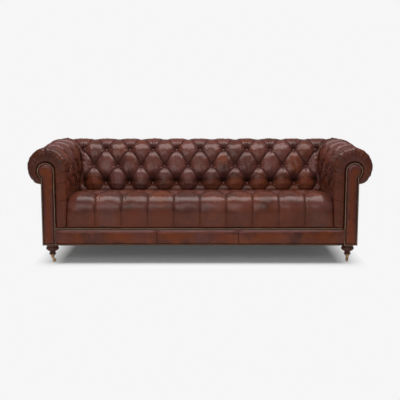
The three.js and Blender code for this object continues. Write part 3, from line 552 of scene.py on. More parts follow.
class Section:
    """The way an arm or the back runs: up its face, over the roll and round under it."""

    def __init__(self, face_depth, axis_height, foot_height):
        rise = axis_height - KNEE_HEIGHT
        reach = math.hypot(face_depth, rise)
        self.face_depth = face_depth
        self.axis_height = axis_height
        self.foot_height = foot_height
        self.slope = math.atan2(rise, face_depth) + math.asin(ROLL_RADIUS / reach)
        self.start = self.slope + math.pi / 2
        self.upright = KNEE_HEIGHT - foot_height
        self.straight = self.upright + math.sqrt(reach ** 2 - ROLL_RADIUS ** 2)
        self.length = self.straight + (self.start + math.acos(SIDE_OUT / ROLL_RADIUS)) * ROLL_RADIUS
        self.top_length = self.straight + (self.start - math.pi / 2) * ROLL_RADIUS

    def knee(self, depth):
        return depth - self.face_depth, KNEE_HEIGHT + depth * math.tan((self.start - math.pi) / 2)

    def tangent(self, depth):
        return ((ROLL_RADIUS - depth) * math.cos(self.start),
                self.axis_height + (ROLL_RADIUS - depth) * math.sin(self.start))

    def at(self, along, depth=0.0):
        """Across, up and the way it faces, at lengths along the section and sunk by a depth."""
        along = np.asarray(along, float)
        depth = np.broadcast_to(np.asarray(depth, float), along.shape)
        radius = ROLL_RADIUS - depth
        knee_across, knee_up = self.knee(depth)
        tangent_across, tangent_up = self.tangent(depth)
        rise = np.clip(along / self.upright, 0, 1)
        lean = np.clip((along - self.upright) / (self.straight - self.upright), 0, 1)
        share = np.clip((along - self.straight) / (self.length - self.straight), 0, 1)
        tail = SIDE_OUT - TAIL_THICKNESS * (depth > 0)
        angle = self.start - share * (self.start + np.arccos(tail / radius))
        on_roll = along > self.straight
        leaning_across = knee_across + lean * (tangent_across - knee_across)
        across = np.where(on_roll, radius * np.cos(angle), leaning_across)
        up = np.where(along <= self.upright, self.foot_height + rise * (knee_up - self.foot_height),
                      knee_up + lean * (tangent_up - knee_up))
        up = np.where(on_roll, self.axis_height + radius * np.sin(angle), up)
        turn = smooth_share(along, self.upright - KNEE_EASE, self.upright + KNEE_EASE)
        way = np.where(on_roll, angle, math.pi + turn * (self.start - math.pi))
        return across, up, np.cos(way), np.sin(way)

    def lean_across(self, height, depth):
        across, up = self.tangent(depth)
        return np.maximum(depth - self.face_depth, across - (up - height) / math.tan(self.slope))

    def rows(self, spacing, coarse_below):
        """Lengths along the section of a pad's rows of points, with one at every row of buttons."""
        step = spacing / CELLS
        first = -int(self.top_length / step)
        last = int((self.length - self.top_length) / step)
        found = {0.0, self.upright, self.length}
        for k in range(first, last + 1):
            along = self.top_length + k * step
            wanted = along > coarse_below or k % COARSE_CELLS == 0
            within = step / 2 < along < self.length - step / 2 and abs(along - self.upright) > step / 3
            if wanted and within:
                found.add(along)
        return np.array(sorted(found))


ARM = Section(ROLL_RADIUS, ARM_AXIS_HEIGHT, BORDER_TOP + TOUCH)
BACK = Section(BACK_FACE_DEPTH, ARM_AXIS_HEIGHT + BACK_RISE, BACK_FOOT)


def arm_edge_x(across, height, depth):
    """How far out an end of the back pad reaches, to the mitre."""
    above = np.maximum(0, height - BACK.axis_height)
    inner = ROLL_X - np.sqrt(np.maximum(0, (ROLL_RADIUS - depth) ** 2 - above ** 2))
    return np.where(across > 0, ROLL_X + across, inner)


def back_edge_y(across, height, depth):
    """How far back an arm pad reaches, to the mitre."""
    leaning = (across < 0) & (height < BACK.tangent(depth)[1])
    return BACK_ROLL_Y + np.where(leaning, BACK.lean_across(height, depth), across)


def shoulder(way_out, way_up, share):
    """How much fuller than round the outer shoulder of a roll is, towards the corner of arm and back."""
    angle = np.degrees(np.arctan2(way_up, way_out))
    return SHOULDER * bell(angle - SHOULDER_ANGLE, SHOULDER_SPREAD) * (way_out > -0.5) * share


MITRE_WAX = 0.8
MITRE_WAX_REACH = 0.006
MITRE_TUCK = 0.003
MITRE_TUCK_REACH = 0.012
MITRE_GATHER_START = 0.008


def mitre_seam(from_end):
    """The waxed line of a mitre."""
    return MITRE_WAX * bell(from_end, MITRE_WAX_REACH)


def mitre_tuck(from_end):
    """How deep a pad's leather is drawn in at its mitre."""
    return MITRE_TUCK * (1 - smooth_share(from_end, 0, MITRE_TUCK_REACH))


def mitre_gathers(wave, from_end, height, reach):
    """The leather's gathers along a mitre, from their wave, height and reach."""
    return height * wave * bell(from_end, reach) * smooth_share(from_end, 0, MITRE_GATHER_START)


# How buttoned leather lies, in metres and in shares of a diamond
PLEAT_ARCH = 0.1              # how far, in rows, a pleat arches between two rows
ROLL_PLEAT_POWER = 1.8        # how late the pleats spread that come over the roll
DIAMOND_POWER = 0.33          # the lower, the flatter a diamond's middle and the narrower its pleats
PULL_SHARE = 0.4
PULL_POWER = 1.6
PUCKER_HEIGHT = 0.0014
PUCKER_HEIGHT_BELOW = 0.0012  # what the puckers below a button have more
PUCKER_RING = 0.025
PUCKER_REACH = 0.013
UNEVEN_FULLNESS = 0.0016
# Darkening: wax and painted shade in pleats and round buttons, painted shade in the fans above buttons
PLEAT_WAX_AND_SHADE = 2.2
PLEAT_WAX_AND_SHADE_REACH = 0.0046
BUTTON_WAX_AND_SHADE_REACH = 0.022
SHADE_FAN_REACH = 0.028
SHADE_FAN_RAY_REACH = 0.024
RUBBED_SWELL = (0.45, 0.95)


def arched(row):
    """Bends the pleats: they leave a button sideways and come steeply down on the next row."""
    return row + np.where(row > 1, PLEAT_ARCH, 0.0) * np.sin(np.pi * (row - np.floor(row)))


def tufts(column, row, pitch, spacing, settings, seed, puckered=1.0):
    """Buttoned leather: how far it stands out, how darkened it is by wax and painted shade, and how worn,
    over columns and rows.
    """
    bent = arched(np.where(row < 1, np.maximum(0, row) ** ROLL_PLEAT_POWER, row))
    left, right = column + bent / 2, column - bent / 2
    from_left, from_right = left - np.round(left), right - np.round(right)
    # Places about the nearest button, in metres
    button_row = np.round(left) - np.round(right)
    button_column = (np.round(left) + np.round(right)) / 2
    across = (column - button_column) * pitch
    along = np.where(row < 0, row, row - np.maximum(0, button_row)) * spacing
    distance = np.hypot(across, along)
    angle = np.arctan2(along, across)
    phase = 9 * cell_draw(button_column, button_row, seed)
    # It lies flat under a button, swells between the pleats and is drawn down and puckered by buttons
    free = np.clip(1 - (settings.button_radius / np.maximum(distance, 1e-5)) ** 2, 0, 1)
    swell = np.abs(np.sin(np.pi * from_left * free) * np.sin(np.pi * from_right * free)) ** DIAMOND_POWER
    away = np.hypot(np.hypot(from_left, from_right), np.minimum(0, row)) * free
    pull = np.clip(1 - away / PULL_SHARE, 0, 1) ** PULL_POWER
    spokes = np.sin(9 * angle + phase) + 0.6 * np.sin(14 * angle - 2 * phase)
    puckers = puckered * (PUCKER_HEIGHT + PUCKER_HEIGHT_BELOW * (along > 0)) * spokes
    fullness = UNEVEN_FULLNESS * cell_draw(np.floor(left), np.floor(right), seed + 5)
    height = (settings.crown + fullness * swell - settings.pleat_depth * (1 - swell)
              - settings.button_depth * pull + puckers * bell(distance - PUCKER_RING, PUCKER_REACH))
    # Wax and painted shade darken the pleats and the rings round the buttons, and painted shade the rays that
    # fan out above them, where the leather turns down from the light
    pleat_scale = 1 / math.hypot(1 / pitch, 0.5 / spacing)
    near = np.minimum(np.abs(from_left), np.abs(from_right)) * np.where(row < 0, pitch, pleat_scale)
    above = np.clip(-along / np.maximum(distance, 1e-6), 0, 1) ** 0.42
    rays = 0.5 + 0.5 * np.sin(13 * angle + phase)
    fold = np.maximum.reduce([
        np.minimum(1, PLEAT_WAX_AND_SHADE * bell(near, PLEAT_WAX_AND_SHADE_REACH)), bell(distance, BUTTON_WAX_AND_SHADE_REACH),
        above * bell(distance, SHADE_FAN_REACH + SHADE_FAN_RAY_REACH * rays, 4)])
    worn = smooth_share(swell, *RUBBED_SWELL) * cell_draw(np.floor(left), np.floor(right), seed + 9)
    return height, fold, worn


def pad(name, columns, rows, outer, inner, stands_for):
    """A closed pad: a fine buttoned face, a plain inner side, and edges that join them."""
    count = len(columns) - 1
    total = count + len(inner) + 1
    slack = 1e-3
    bm = bmesh.new()
    bmesh.ops.create_grid(bm, x_segments=total, y_segments=len(rows) - 1, size=0.5)
    limit = (count + slack) / total - 0.5
    bmesh.ops.poke(bm, faces=[face for face in bm.faces if max(v.co.x for v in face.verts) < limit])
    mesh = bpy.data.meshes.new(name)
    bm.to_mesh(mesh)
    bm.free()
    flat = np.empty(len(mesh.vertices) * 3)
    mesh.vertices.foreach_get("co", flat)
    flat = flat.reshape(-1, 3)
    across = (flat[:, 0] + 0.5) * total
    down = (flat[:, 1] + 0.5) * (len(rows) - 1)
    along = np.interp(down, np.arange(len(rows)), rows)
    column = np.interp(across, np.arange(count + 1), columns)
    on_face = across < count + slack
    closing = across > total - slack
    points, fold, worn = np.zeros_like(flat), np.zeros(len(flat)), np.zeros(len(flat))
    points[on_face], fold[on_face], worn[on_face] = outer(along[on_face], column[on_face])
    for k, side in enumerate(inner):
        chosen = np.abs(across - count - 1 - k) < slack
        points[chosen] = side(along[chosen])
    points[closing] = outer(along[closing], np.full(closing.sum(), columns[0]))[0]
    mesh.vertices.foreach_set("co", points.ravel())
    for key, values in (("fold", fold), ("worn", worn)):
        mesh.attributes.new(key, "FLOAT", "POINT").data.foreach_set("value", values.astype(np.float32))
    bm = bmesh.new()
    bm.from_mesh(mesh)
    bpy.data.meshes.remove(mesh)
    bmesh.ops.remove_doubles(bm, verts=bm.verts[:], dist=2e-6)
    bmesh.ops.holes_fill(bm, edges=open_edges(bm), sides=0)
    face_outwards(bm)
    made = piece(bm, name, "leather", stands_for=stands_for)


def two_sided(middle, ends):
    """Columns across a pad, from those of its middle and of its right end."""
    return np.concatenate([-ends[::-1], middle, ends])


# The back

HOLLOW_ROW = 2.84             # row that the middles of the hollows about the lowest buttons are on
HOLLOW_DEPTH = 0.012
HOLLOW_REACH = 0.046
HOLLOW_SHADE_REACH = 0.037
HOLLOW_SHADE_RAY_REACH = 0.034
SEAT_TUCK_DEPTH = 0.007       # how far the back draws in where it goes down behind the seat
ROLL_CROWN_SHARE = 0.45
ROLL_HEIGHT_SHARE = 0.3       # how much of its height the leather keeps over the roll
BACK_GATHER_HEIGHT = 0.0024
BACK_GATHER_REACH = 0.042
BACK_GATHER_LENGTH = 0.031
BACK_LOOSE_HEIGHT = 0.0016
BACK_LOOSE_SIZE = 0.06


def back_columns(settings):
    """How many even steps lie on each side of the back's middle, and how long one is."""
    step = settings.pitch / (2 * CELLS)
    return whole_steps(EVEN_BACK_REACH, step), step


def back_row(along, settings):
    """The row of buttons that a length along the back's section belongs to."""
    lift = BACK.top_length - along
    spacing = settings.row_spacing
    return np.where(lift > spacing, lift / spacing, 1 - (spacing - lift) / settings.roll_spacing)


def low_hollows(place, row, settings):
    """How deep the hollows about the back's lowest buttons are, and how dark the painted shade in them is."""
    column = place / settings.pitch
    aside = (column - np.round(column)) * settings.pitch
    below = (row - HOLLOW_ROW) * settings.row_spacing
    distance = np.hypot(aside * 0.85, below)
    depth = HOLLOW_DEPTH * bell(distance, HOLLOW_REACH) + SEAT_TUCK_DEPTH * smooth_share(row, 3.0, 3.3)
    rays = 0.5 + 0.5 * np.sin(17 * np.arctan2(below, aside) + 5 * np.round(column))
    return depth, 0.95 * bell(distance, HOLLOW_SHADE_REACH + HOLLOW_SHADE_RAY_REACH * rays, 3)


def back_surface(settings):
    """The outer face of the back's pad, over lengths along its section and places along X."""
    half, step = back_columns(settings)
    last_x = half * step

    def outer(along, x):
        across, up, way_y, way_z = BACK.at(along)
        end = arm_edge_x(across, up, 0) - MITRE_GAP + (across > 0) * way_y * shoulder(way_y, way_z, 1)
        beyond = np.maximum(0, np.abs(x) - last_x) / ENDING
        place = np.where(beyond > 0, np.sign(x) * (last_x + beyond * (end - last_x)), x)
        from_end = end - np.abs(place)
        row = back_row(along, settings)
        height, fold, worn = tufts(
            place / settings.pitch + 0.5, row, settings.pitch, settings.row_spacing, settings, BACK_SEED)
        # Over the roll the pleats run shallow
        shallow = settings.crown * ROLL_CROWN_SHARE + height * ROLL_HEIGHT_SHARE
        height = blend(height, shallow, smooth_share(1 - row, 0.05, 0.75))
        hollow, hollow_shade = low_hollows(place, row, settings)
        height = height - hollow
        # The leather is crimson above, and the lower halves of the middle diamonds are lightened against
        # their shade, a painted light; it is warm at its foot, where painted shade darkens it, darkest where
        # it goes down behind the seat
        worn = worn - 0.35 - 0.3 * smooth_share(0.7 - row, 0, 0.3) - 0.25 * smooth_share(row, 1.5, 1.9)
        worn = worn + 0.9 * smooth_share(row, 2.55, 2.95)
        fold = np.maximum.reduce([
            fold, hollow_shade, 0.24 * smooth_share(row, 2.65, 2.95), 0.6 * smooth_share(row, 3.02, 3.18),
            0.5 * (1 - smooth_share(up, 0.4, 0.425))])
        fade = (smooth_share(from_end, 0, 0.03) * smooth_share(up, 0.386, 0.42)
                * smooth_share(BACK.length - along, 0, 0.05))
        wave = np.sin(along * 2 * math.pi / BACK_GATHER_LENGTH + 2.6 * np.sin(along * 23) + from_end * 40)
        wave *= 0.6 + 0.6 * np.sin(along * 41 + 2 * np.sin(along * 13))
        at_mitre = mitre_gathers(wave, from_end, BACK_GATHER_HEIGHT, BACK_GATHER_REACH) - mitre_tuck(from_end)
        loose = BACK_LOOSE_HEIGHT * ripple(place, along * 0.6, BACK_LOOSE_SIZE, BACK_LOOSE_SEED)
        proud = fade * (height + loose) + at_mitre * smooth_share(up, 0.45, 0.5)
        proud += shoulder(way_y, way_z, smooth_share(np.abs(place), 0.78, 1.0))
        points = np.stack([place, BACK_ROLL_Y + across + proud * way_y, up + proud * way_z], axis=1)
        return points, np.maximum(fold * fade, mitre_seam(from_end)), worn * fade

    return outer


class SOFA_OT_back_pad(bpy.types.Operator):
    """Makes the buttoned pad of the back, which rolls over its top"""
    bl_idname = "sofa.back_pad"
    bl_label = "Back pad"

    def execute(self, context):
        settings = context.scene.sofa_buttoning
        half, step = back_columns(settings)
        ends = half * step + ENDING * np.arange(1, BACK_ENDING_COLUMNS + 1) / BACK_ENDING_COLUMNS
        columns = two_sided(np.arange(-half, half + 1) * step, ends)

        def inner(side):
            def place(along):
                across, up, _, _ = BACK.at(along, PAD_THICKNESS)
                end = arm_edge_x(across, up, PAD_THICKNESS) - MITRE_GAP
                return np.stack([side * end, BACK_ROLL_Y + across, up], axis=1)
            return place

        pad("back_leather", columns, BACK.rows(settings.row_spacing, BACK_HIDDEN),
            back_surface(settings), [inner(1), inner(-1)], ["back_pad"])
        return {"FINISHED"}


# The arms

ROLL_FOLD_DEPTH = 0.021       # how deep the gaps are between the folds over an arm's roll
ROLL_GATHER_HEIGHT = 0.0014
ARM_LOOSE_HEIGHT = 0.0012
ARM_LOOSE_SIZE = 0.09
WRINKLE_HEIGHT = 0.0042
WRINKLE_SIZE = 0.075
FINE_WRINKLE_HEIGHT = 0.0009
FINE_WRINKLE_SIZE = 0.045
ARM_GATHER_HEIGHT = 0.0016
ARM_GATHER_REACH = 0.03
ARM_GATHER_LENGTH = 0.021
FRONT_GATHER_HEIGHT = 0.0013
TIGHT_GATHER_HEIGHT = 0.0016
LOW_GATHER_HEIGHT = 0.0009
LOW_GATHER_LENGTH = 0.055
TICK_HEIGHT = 0.0019          # the small gathers of an arm's front edge
FACING_TUCK = 0.0075          # how far an arm's front draws in beside the facing
FRONT_SWELL = 0.0045
ROLL_END_SWELL = 0.0105
FRONT_CREASES = ((0.608, 0.1), (0.542, -0.06), (0.422, 0.05))    # height and tilt of each
CREASE_WIDTH = 0.0035
CREASE_DEPTH = 0.003
CREASE_DEPTH_BACK = 0.0018


def arm_columns(settings):
    """How many even steps lie along an arm's pad, and how long one is."""
    step = settings.arm_pitch / (3 * CELLS)
    return whole_steps(EVEN_ARM_REACH, step), step


def risen(y, along, up):
    """A height on the arm, which rises to the back's roll towards its rear."""
    length_share = np.clip((y - FRONT_Y) / (BACK_FACE_Y - FRONT_Y), 0, 1)
    return up + BACK_RISE * length_share * np.clip(along / ARM.straight, 0, 1)


def lip_outline(along):
    """The edge of the facing, which the front of an arm pad closes on: x and height."""
    reach = FACING_HEAD_RADIUS + LIP_CLEARANCE
    _, _, way_x, way_z = ARM.at(along)
    angle = np.arctan2(way_z, way_x)
    last = -math.acos(SIDE_OUT / ROLL_RADIUS)
    lip_last = -math.acos((SIDE_X + LIP_CLEARANCE - FACING_HEAD_X) / reach)
    shown = np.where(angle > 0, angle, angle * lip_last / last)
    low = along <= ARM.straight
    share = np.clip(along / ARM.straight, 0, 1)
    x = np.where(low, FACING_INNER_X - LIP_CLEARANCE, FACING_HEAD_X + reach * np.cos(shown))
    z = np.where(low, ARM.foot_height + share * (FACING_HEAD_HEIGHT - ARM.foot_height),
                 FACING_HEAD_HEIGHT + reach * np.sin(shown))
    return x, z


def front_gathers(along, column, up, side):
    """The gathers round an arm's front, where they are tight, and how far a place is on the roll."""
    roll_angle = np.clip((along - ARM.straight) / ROLL_RADIUS, 0, 4)
    on_roll = smooth_share(along, ARM.straight - 0.05, ARM.straight + 0.08)
    band = np.where(column < 0, bell(column + 0.6, 0.75), bell(0.6, 0.75) * bell(np.maximum(0, column), 0.02))
    gather = np.sin(13 * roll_angle + 1.5 * np.sin(5 * roll_angle + side))
    gather = band * (gather + 0.6 * np.sin(23 * roll_angle + 2 * side))
    low = np.sin(along * 2 * math.pi / LOW_GATHER_LENGTH + 3 * np.sin(along * 17))
    low = band * low * smooth_share(up, 0.3, 0.4)
    return gather * on_roll, low * (1 - on_roll), on_roll


def arm_tufts(y, along, across, side, settings):
    """The buttoned leather of an arm, whose pleats over the roll fold over one another."""
    column = (y - FIRST_ARM_PLEAT) / settings.arm_pitch
    row = (ARM.top_length - along) / settings.row_spacing - 1
    height, fold, worn = tufts(
        column, row, settings.arm_pitch, settings.row_spacing, settings, ARM_SEED + side)
    # Over the roll each has a round lip in front, a long fall behind it and a gap; the gap is darkened as
    # painted shade, and the lip goes a brighter crimson-mauve as a painted highlight
    phase = column - np.floor(column)
    lip = np.sin(np.pi / 2 * np.clip(phase / 0.1, 0, 1)) ** 0.8
    ridge = lip * (1 - 0.8 * np.clip((phase - 0.12) / 0.88, 0, 1) ** 1.3)
    gap = np.maximum(smooth_share(phase, 0.92, 0.99), 1 - smooth_share(phase, 0.012, 0.045))
    over = smooth_share(-row, 0.0, 0.5)
    height = blend(height, settings.crown - ROLL_FOLD_DEPTH * (1 - ridge), over)
    fold = blend(fold, 0.95 * gap, over)
    worn = blend(worn, 0.2 * smooth_share(phase, 0.4, 0.8) - (1 - smooth_share(phase, 0.12, 0.3)), over)
    gathered = smooth_share(-row, -0.2, 0.2) * smooth_share(1.45 + row, 0, 0.4)
    gather = np.sin(8 * np.pi * column + 2.5 * np.sin(along * 8 + side))
    height = height + ROLL_GATHER_HEIGHT * gathered * gather
    fold = fold * (1 - 0.8 * smooth_share(across, 0.06, 0.11))
    return height * (1 - 0.75 * smooth_share(across, 0.02, 0.1)), fold, worn


def arm_wrinkles(y, along, across, up, seed):
    """The loose leather of an arm, and the sharp wrinkles of its inside."""
    wrinkled = (across < 0.03) * smooth_share(0.32 - y, 0, 0.15) * smooth_share(up, 0.52, 0.6)
    sharp = ripple(y * 1.4 + along * 0.8, along * 1.1, WRINKLE_SIZE, seed + 4)
    sharp = np.clip(1 - 2.2 * np.abs(sharp), 0, 1) ** 1.5 * wrinkled * smooth_share(-0.02 - y, 0, 0.12)
    loose = ARM_LOOSE_HEIGHT * ripple(y, along, ARM_LOOSE_SIZE, seed) + WRINKLE_HEIGHT * sharp
    fine = ripple(y * 1.6 + along * 0.7, along, FINE_WRINKLE_SIZE, seed + 3)
    return loose + FINE_WRINKLE_HEIGHT * wrinkled * fine, sharp


def front_creases(y, across, up, column):
    """The creases that run in from an arm's front edge."""
    crease = sum(bell(up - height - tilt * (y - LIP_Y), CREASE_WIDTH) for height, tilt in FRONT_CREASES)
    return crease * (across < 0) * smooth_share(0.07 - column, 0, 0.05)


def arm_surface(settings, side):
    """The outer face of an arm pad. Columns below -1 cross the front, those to 0 turn the corner, and
    the rest are places along Y from the front, with those past the even part shared out to the mitre."""
    count, step = arm_columns(settings)
    body_end = count * step
    last_y = ARM_START_Y + body_end

    def outer(along, column):
        across, up, way_x, way_z = ARM.at(along)
        end = back_edge_y(across, risen(BACK_FACE_Y, along, up), 0) - MITRE_GAP
        end = end + (across > 0) * way_x * shoulder(way_x, way_z, 1)
        turn = np.clip(-column, 0, 1) * math.pi / 2
        lip = np.clip(-1 - column, 0, 1)
        y = np.where(column > body_end, last_y + (column - body_end) / ENDING * (end - last_y),
                     ARM_START_Y + column)
        y = np.where(column < 0, LIP_Y + FRONT_ROUND * (1 - np.sin(turn)), y)
        # Round the corner the section sinks, but for its tail, and across the front it runs to the lip
        sunk = np.where(along > ARM.length - 1e-6, 0, FRONT_ROUND * (1 - np.cos(turn)))
        sunk_across, z, _, _ = ARM.at(along, sunk)
        x = ROLL_X + sunk_across
        lip_x, lip_z = lip_outline(along)
        x = x + lip * (lip_x - x)
        z = z + lip * (lip_z - z)

        # The front swells between the facing and the roll, and tucks in beside the facing
        near_tail = smooth_share(ARM.length - along, 0, 0.05)
        tuck = smooth_share(lip, 0.8, 1)
        y = y + (FACING_TUCK * tuck - FRONT_SWELL * np.sin(np.pi * lip)) * near_tail
        gather, low_gather, on_roll = front_gathers(along, column, up, side)
        gather = gather * near_tail
        tight = (across < 0.03) * np.maximum(0, gather)
        ticks = np.cos(math.pi * (along - ARM.top_length) * CELLS / settings.row_spacing)
        edge = bell(y - ARM_START_Y - 0.006, 0.011) * smooth_share(up, 0.42, 0.5) * (column > -0.3)
        edge = edge * (1 - smooth_share(across, 0.02, 0.08))
        fine = (FRONT_GATHER_HEIGHT * gather + TIGHT_GATHER_HEIGHT * tight + LOW_GATHER_HEIGHT * low_gather
                + TICK_HEIGHT * ticks * edge)

        # The buttoned leather starts behind the front and ends at the mitre, the seat and the tail
        from_end = end - y
        above_seat = np.where(across > 0, 1, smooth_share(up, 0.472, 0.505))
        behind = smooth_share(y, LIP_Y + FRONT_ROUND * 0.6, ARM_START_Y + 0.05)
        fade = above_seat * smooth_share(from_end, 0, 0.03) * behind * near_tail
        height, fold, worn = arm_tufts(y, along, across, side, settings)
        loose, sharp = arm_wrinkles(y, along, across, up, ARM_SEED + side)
        # Painted highlight: the crests of the front edge's small gathers and of the inside's sharp wrinkles
        # go a brighter crimson-mauve
        worn = worn - 1.4 * edge * np.maximum(0, ticks) - 1.3 * sharp
        wave = np.sin(along * 2 * math.pi / ARM_GATHER_LENGTH + 2 * np.sin(along * 27 + side))
        at_mitre = mitre_gathers(wave, from_end, ARM_GATHER_HEIGHT, ARM_GATHER_REACH) - mitre_tuck(from_end)
        body = fade * (height + loose) + at_mitre * above_seat
        body = body + shoulder(way_x, way_z, smooth_share(y, -0.35, 0.25))
        crease = front_creases(y, across, up, column)
        proud = fine + np.where(column > 0, body, 0) - CREASE_DEPTH * crease * (column > -1)
        proud = proud + ROLL_END_SWELL * on_roll * near_tail * (1 - behind) * (1 - lip)

        y = y + CREASE_DEPTH_BACK * crease * (column <= 0)
        out = proud * np.cos(turn)
        points = np.stack([
            side * (x + out * way_x), y - proud * np.sin(turn), risen(y, along, z) + out * way_z], axis=1)
        # Painted shade in the tuck beside the facing, in the front creases and over the inside of the arm,
        # whose shade is also warmer; the front band is darker and warmer throughout
        in_front = 1 - smooth_share(column, 0, 0.04)
        inside = 0.42 * (across < 0) * smooth_share(y, -0.2, 0.2) * (1 - smooth_share(up, 0.6, 0.72))
        dark = np.maximum.reduce([
            fold * fade * (column > 0), mitre_seam(from_end) * (across <= 0.02), 0.9 * tuck, 0.95 * crease,
            (0.2 + 0.03 * on_roll) * in_front, inside])
        warm = 0.5 * in_front * (1 - edge) * (1 - 0.45 * on_roll) + 0.4 * inside - 0.55 * tight
        return points, dark, worn * np.maximum(fade, edge) + warm

    return outer


class SOFA_OT_arm_pads(bpy.types.Operator):
    """Makes the two buttoned arm pads, gathered round the facings"""
    bl_idname = "sofa.arm_pads"
    bl_label = "Arm pads"

    def execute(self, context):
        settings = context.scene.sofa_buttoning
        count, step = arm_columns(settings)
        columns = np.concatenate([
            np.linspace(-2, -1, 13)[:-1], np.linspace(-1, 0, 9)[:-1], np.arange(count + 1) * step,
            count * step + ENDING * np.arange(1, ARM_ENDING_COLUMNS + 1) / ARM_ENDING_COLUMNS])
        lip_back_y = LIP_Y + LIP_THICKNESS

        for side, word in SIDES:
            def mitre(along, side=side):
                across, up, _, _ = ARM.at(along, PAD_THICKNESS)
                end = back_edge_y(across, up, PAD_THICKNESS) - MITRE_GAP
                return np.stack([side * (ROLL_X + across), end, up], axis=1)

            def corner_line(along, side=side):
                across, up, _, _ = ARM.at(along, PAD_THICKNESS)
                across = np.where(along > ARM.length - 1e-6, SIDE_OUT + LIP_CLEARANCE, across)
                return np.stack([side * (ROLL_X + across), np.full(len(along), lip_back_y), up], axis=1)

            def lip_line(along, side=side):
                x, z = lip_outline(along)
                return np.stack([side * x, np.full(len(along), lip_back_y), z], axis=1)

            pad(f"arm_leather_{word}", columns, ARM.rows(settings.row_spacing, ARM_HIDDEN),
                arm_surface(settings, side), [mitre, corner_line, lip_line], [f"arm_pad_{word}"])
        return {"FINISHED"}


# The seat

SEAT_PUCKER = 1.9             # how much stronger than the back's the puckers of its buttons are
FRONT_CROWN_SHARE = 0.3       # how much of the crown the panels in front have
FRONT_PANEL_DIP = 0.004       # how much lower a panel is beside its pleats than at its middle
FRONT_PLEAT_DEPTH = 0.0085
FRONT_PLEAT_REACH = 0.006
FRONT_PLEAT_WAX_AND_SHADE_REACH = 0.0035
CORNER_RISE = 0.009
CORNER_GATHER_HEIGHT = 0.0016
CORNER_GATHER_LENGTH = 0.016
CRINKLE_HEIGHT = 0.0016
CRINKLE_SIZE = 0.036
BULGE = 0.0062
SEAT_LOOSE_HEIGHT = 0.0016
SEAT_LOOSE_SIZE = 0.14
END_DROP = 0.021              # how much lower the seat is at the arms


def seat_line():
    """The seat's section, from its foot in front to its rear, as places back and up."""
    low = SEAT_EDGE_HEIGHT - SEAT_EDGE_RADIUS
    upright = [(SEAT_FACE_Y, z) for z in np.linspace(SEAT_FOOT, low, 12)]
    arc = [(SEAT_FACE_Y + SEAT_EDGE_RADIUS * (1 - math.cos(a)), low + SEAT_EDGE_RADIUS * math.sin(a))
           for a in np.linspace(0, math.pi / 2, 19)[1:]]
    start, crown, back = (Vector((*place, 0)) for place in (arc[-1], SEAT_CROWN, SEAT_BACK))
    step = SEAT_ROW_SPACING / CELLS
    first = math.ceil((start.x + 0.003 - SEAT_FIRST_ROW_Y) / step)
    count = whole_steps(back.x - SEAT_FIRST_ROW_Y, step) + 1
    ys = [SEAT_FIRST_ROW_Y + k * step for k in range(first, count)]
    top = []
    for y in [y for y in ys if y < back.x - step / 2] + [back.x]:
        # Solve the curve's own parameter for this place back
        a, b, c = start.x - 2 * crown.x + back.x, 2 * (crown.x - start.x), start.x - y
        t = (-b + math.sqrt(b * b - 4 * a * c)) / (2 * a) if abs(a) > 1e-9 else -c / b
        point = start.lerp(crown, t).lerp(crown.lerp(back, t), t)
        top.append((point.x, point.y))
    return np.array(upright + arc + top)


def seat_front(height, fold, near, ahead, settings):
    """In front the panels are flatter, with a narrow sewn pleat between them, darkened by wax and painted
    shade.
    """
    panel = settings.crown * FRONT_CROWN_SHARE
    panel = panel - FRONT_PANEL_DIP * np.cos(np.pi * near / settings.pitch) ** 2
    panel = panel - FRONT_PLEAT_DEPTH * bell(near, FRONT_PLEAT_REACH, 1.3)
    return blend(height, panel, ahead), blend(fold, 0.8 * bell(near, FRONT_PLEAT_WAX_AND_SHADE_REACH), ahead)


def seat_corners(row, near, settings):
    """Where the corner of a diamond is gathered, and lightened as a painted highlight, behind each button of
    the front row.
    """
    within = near / (0.5 * settings.pitch * np.maximum(row, 0.01))
    corner = smooth_share(row, 0.04, 0.2) * (1 - smooth_share(row, 0.35, 0.8))
    return corner * (1 - smooth_share(within, 0.45, 0.95))


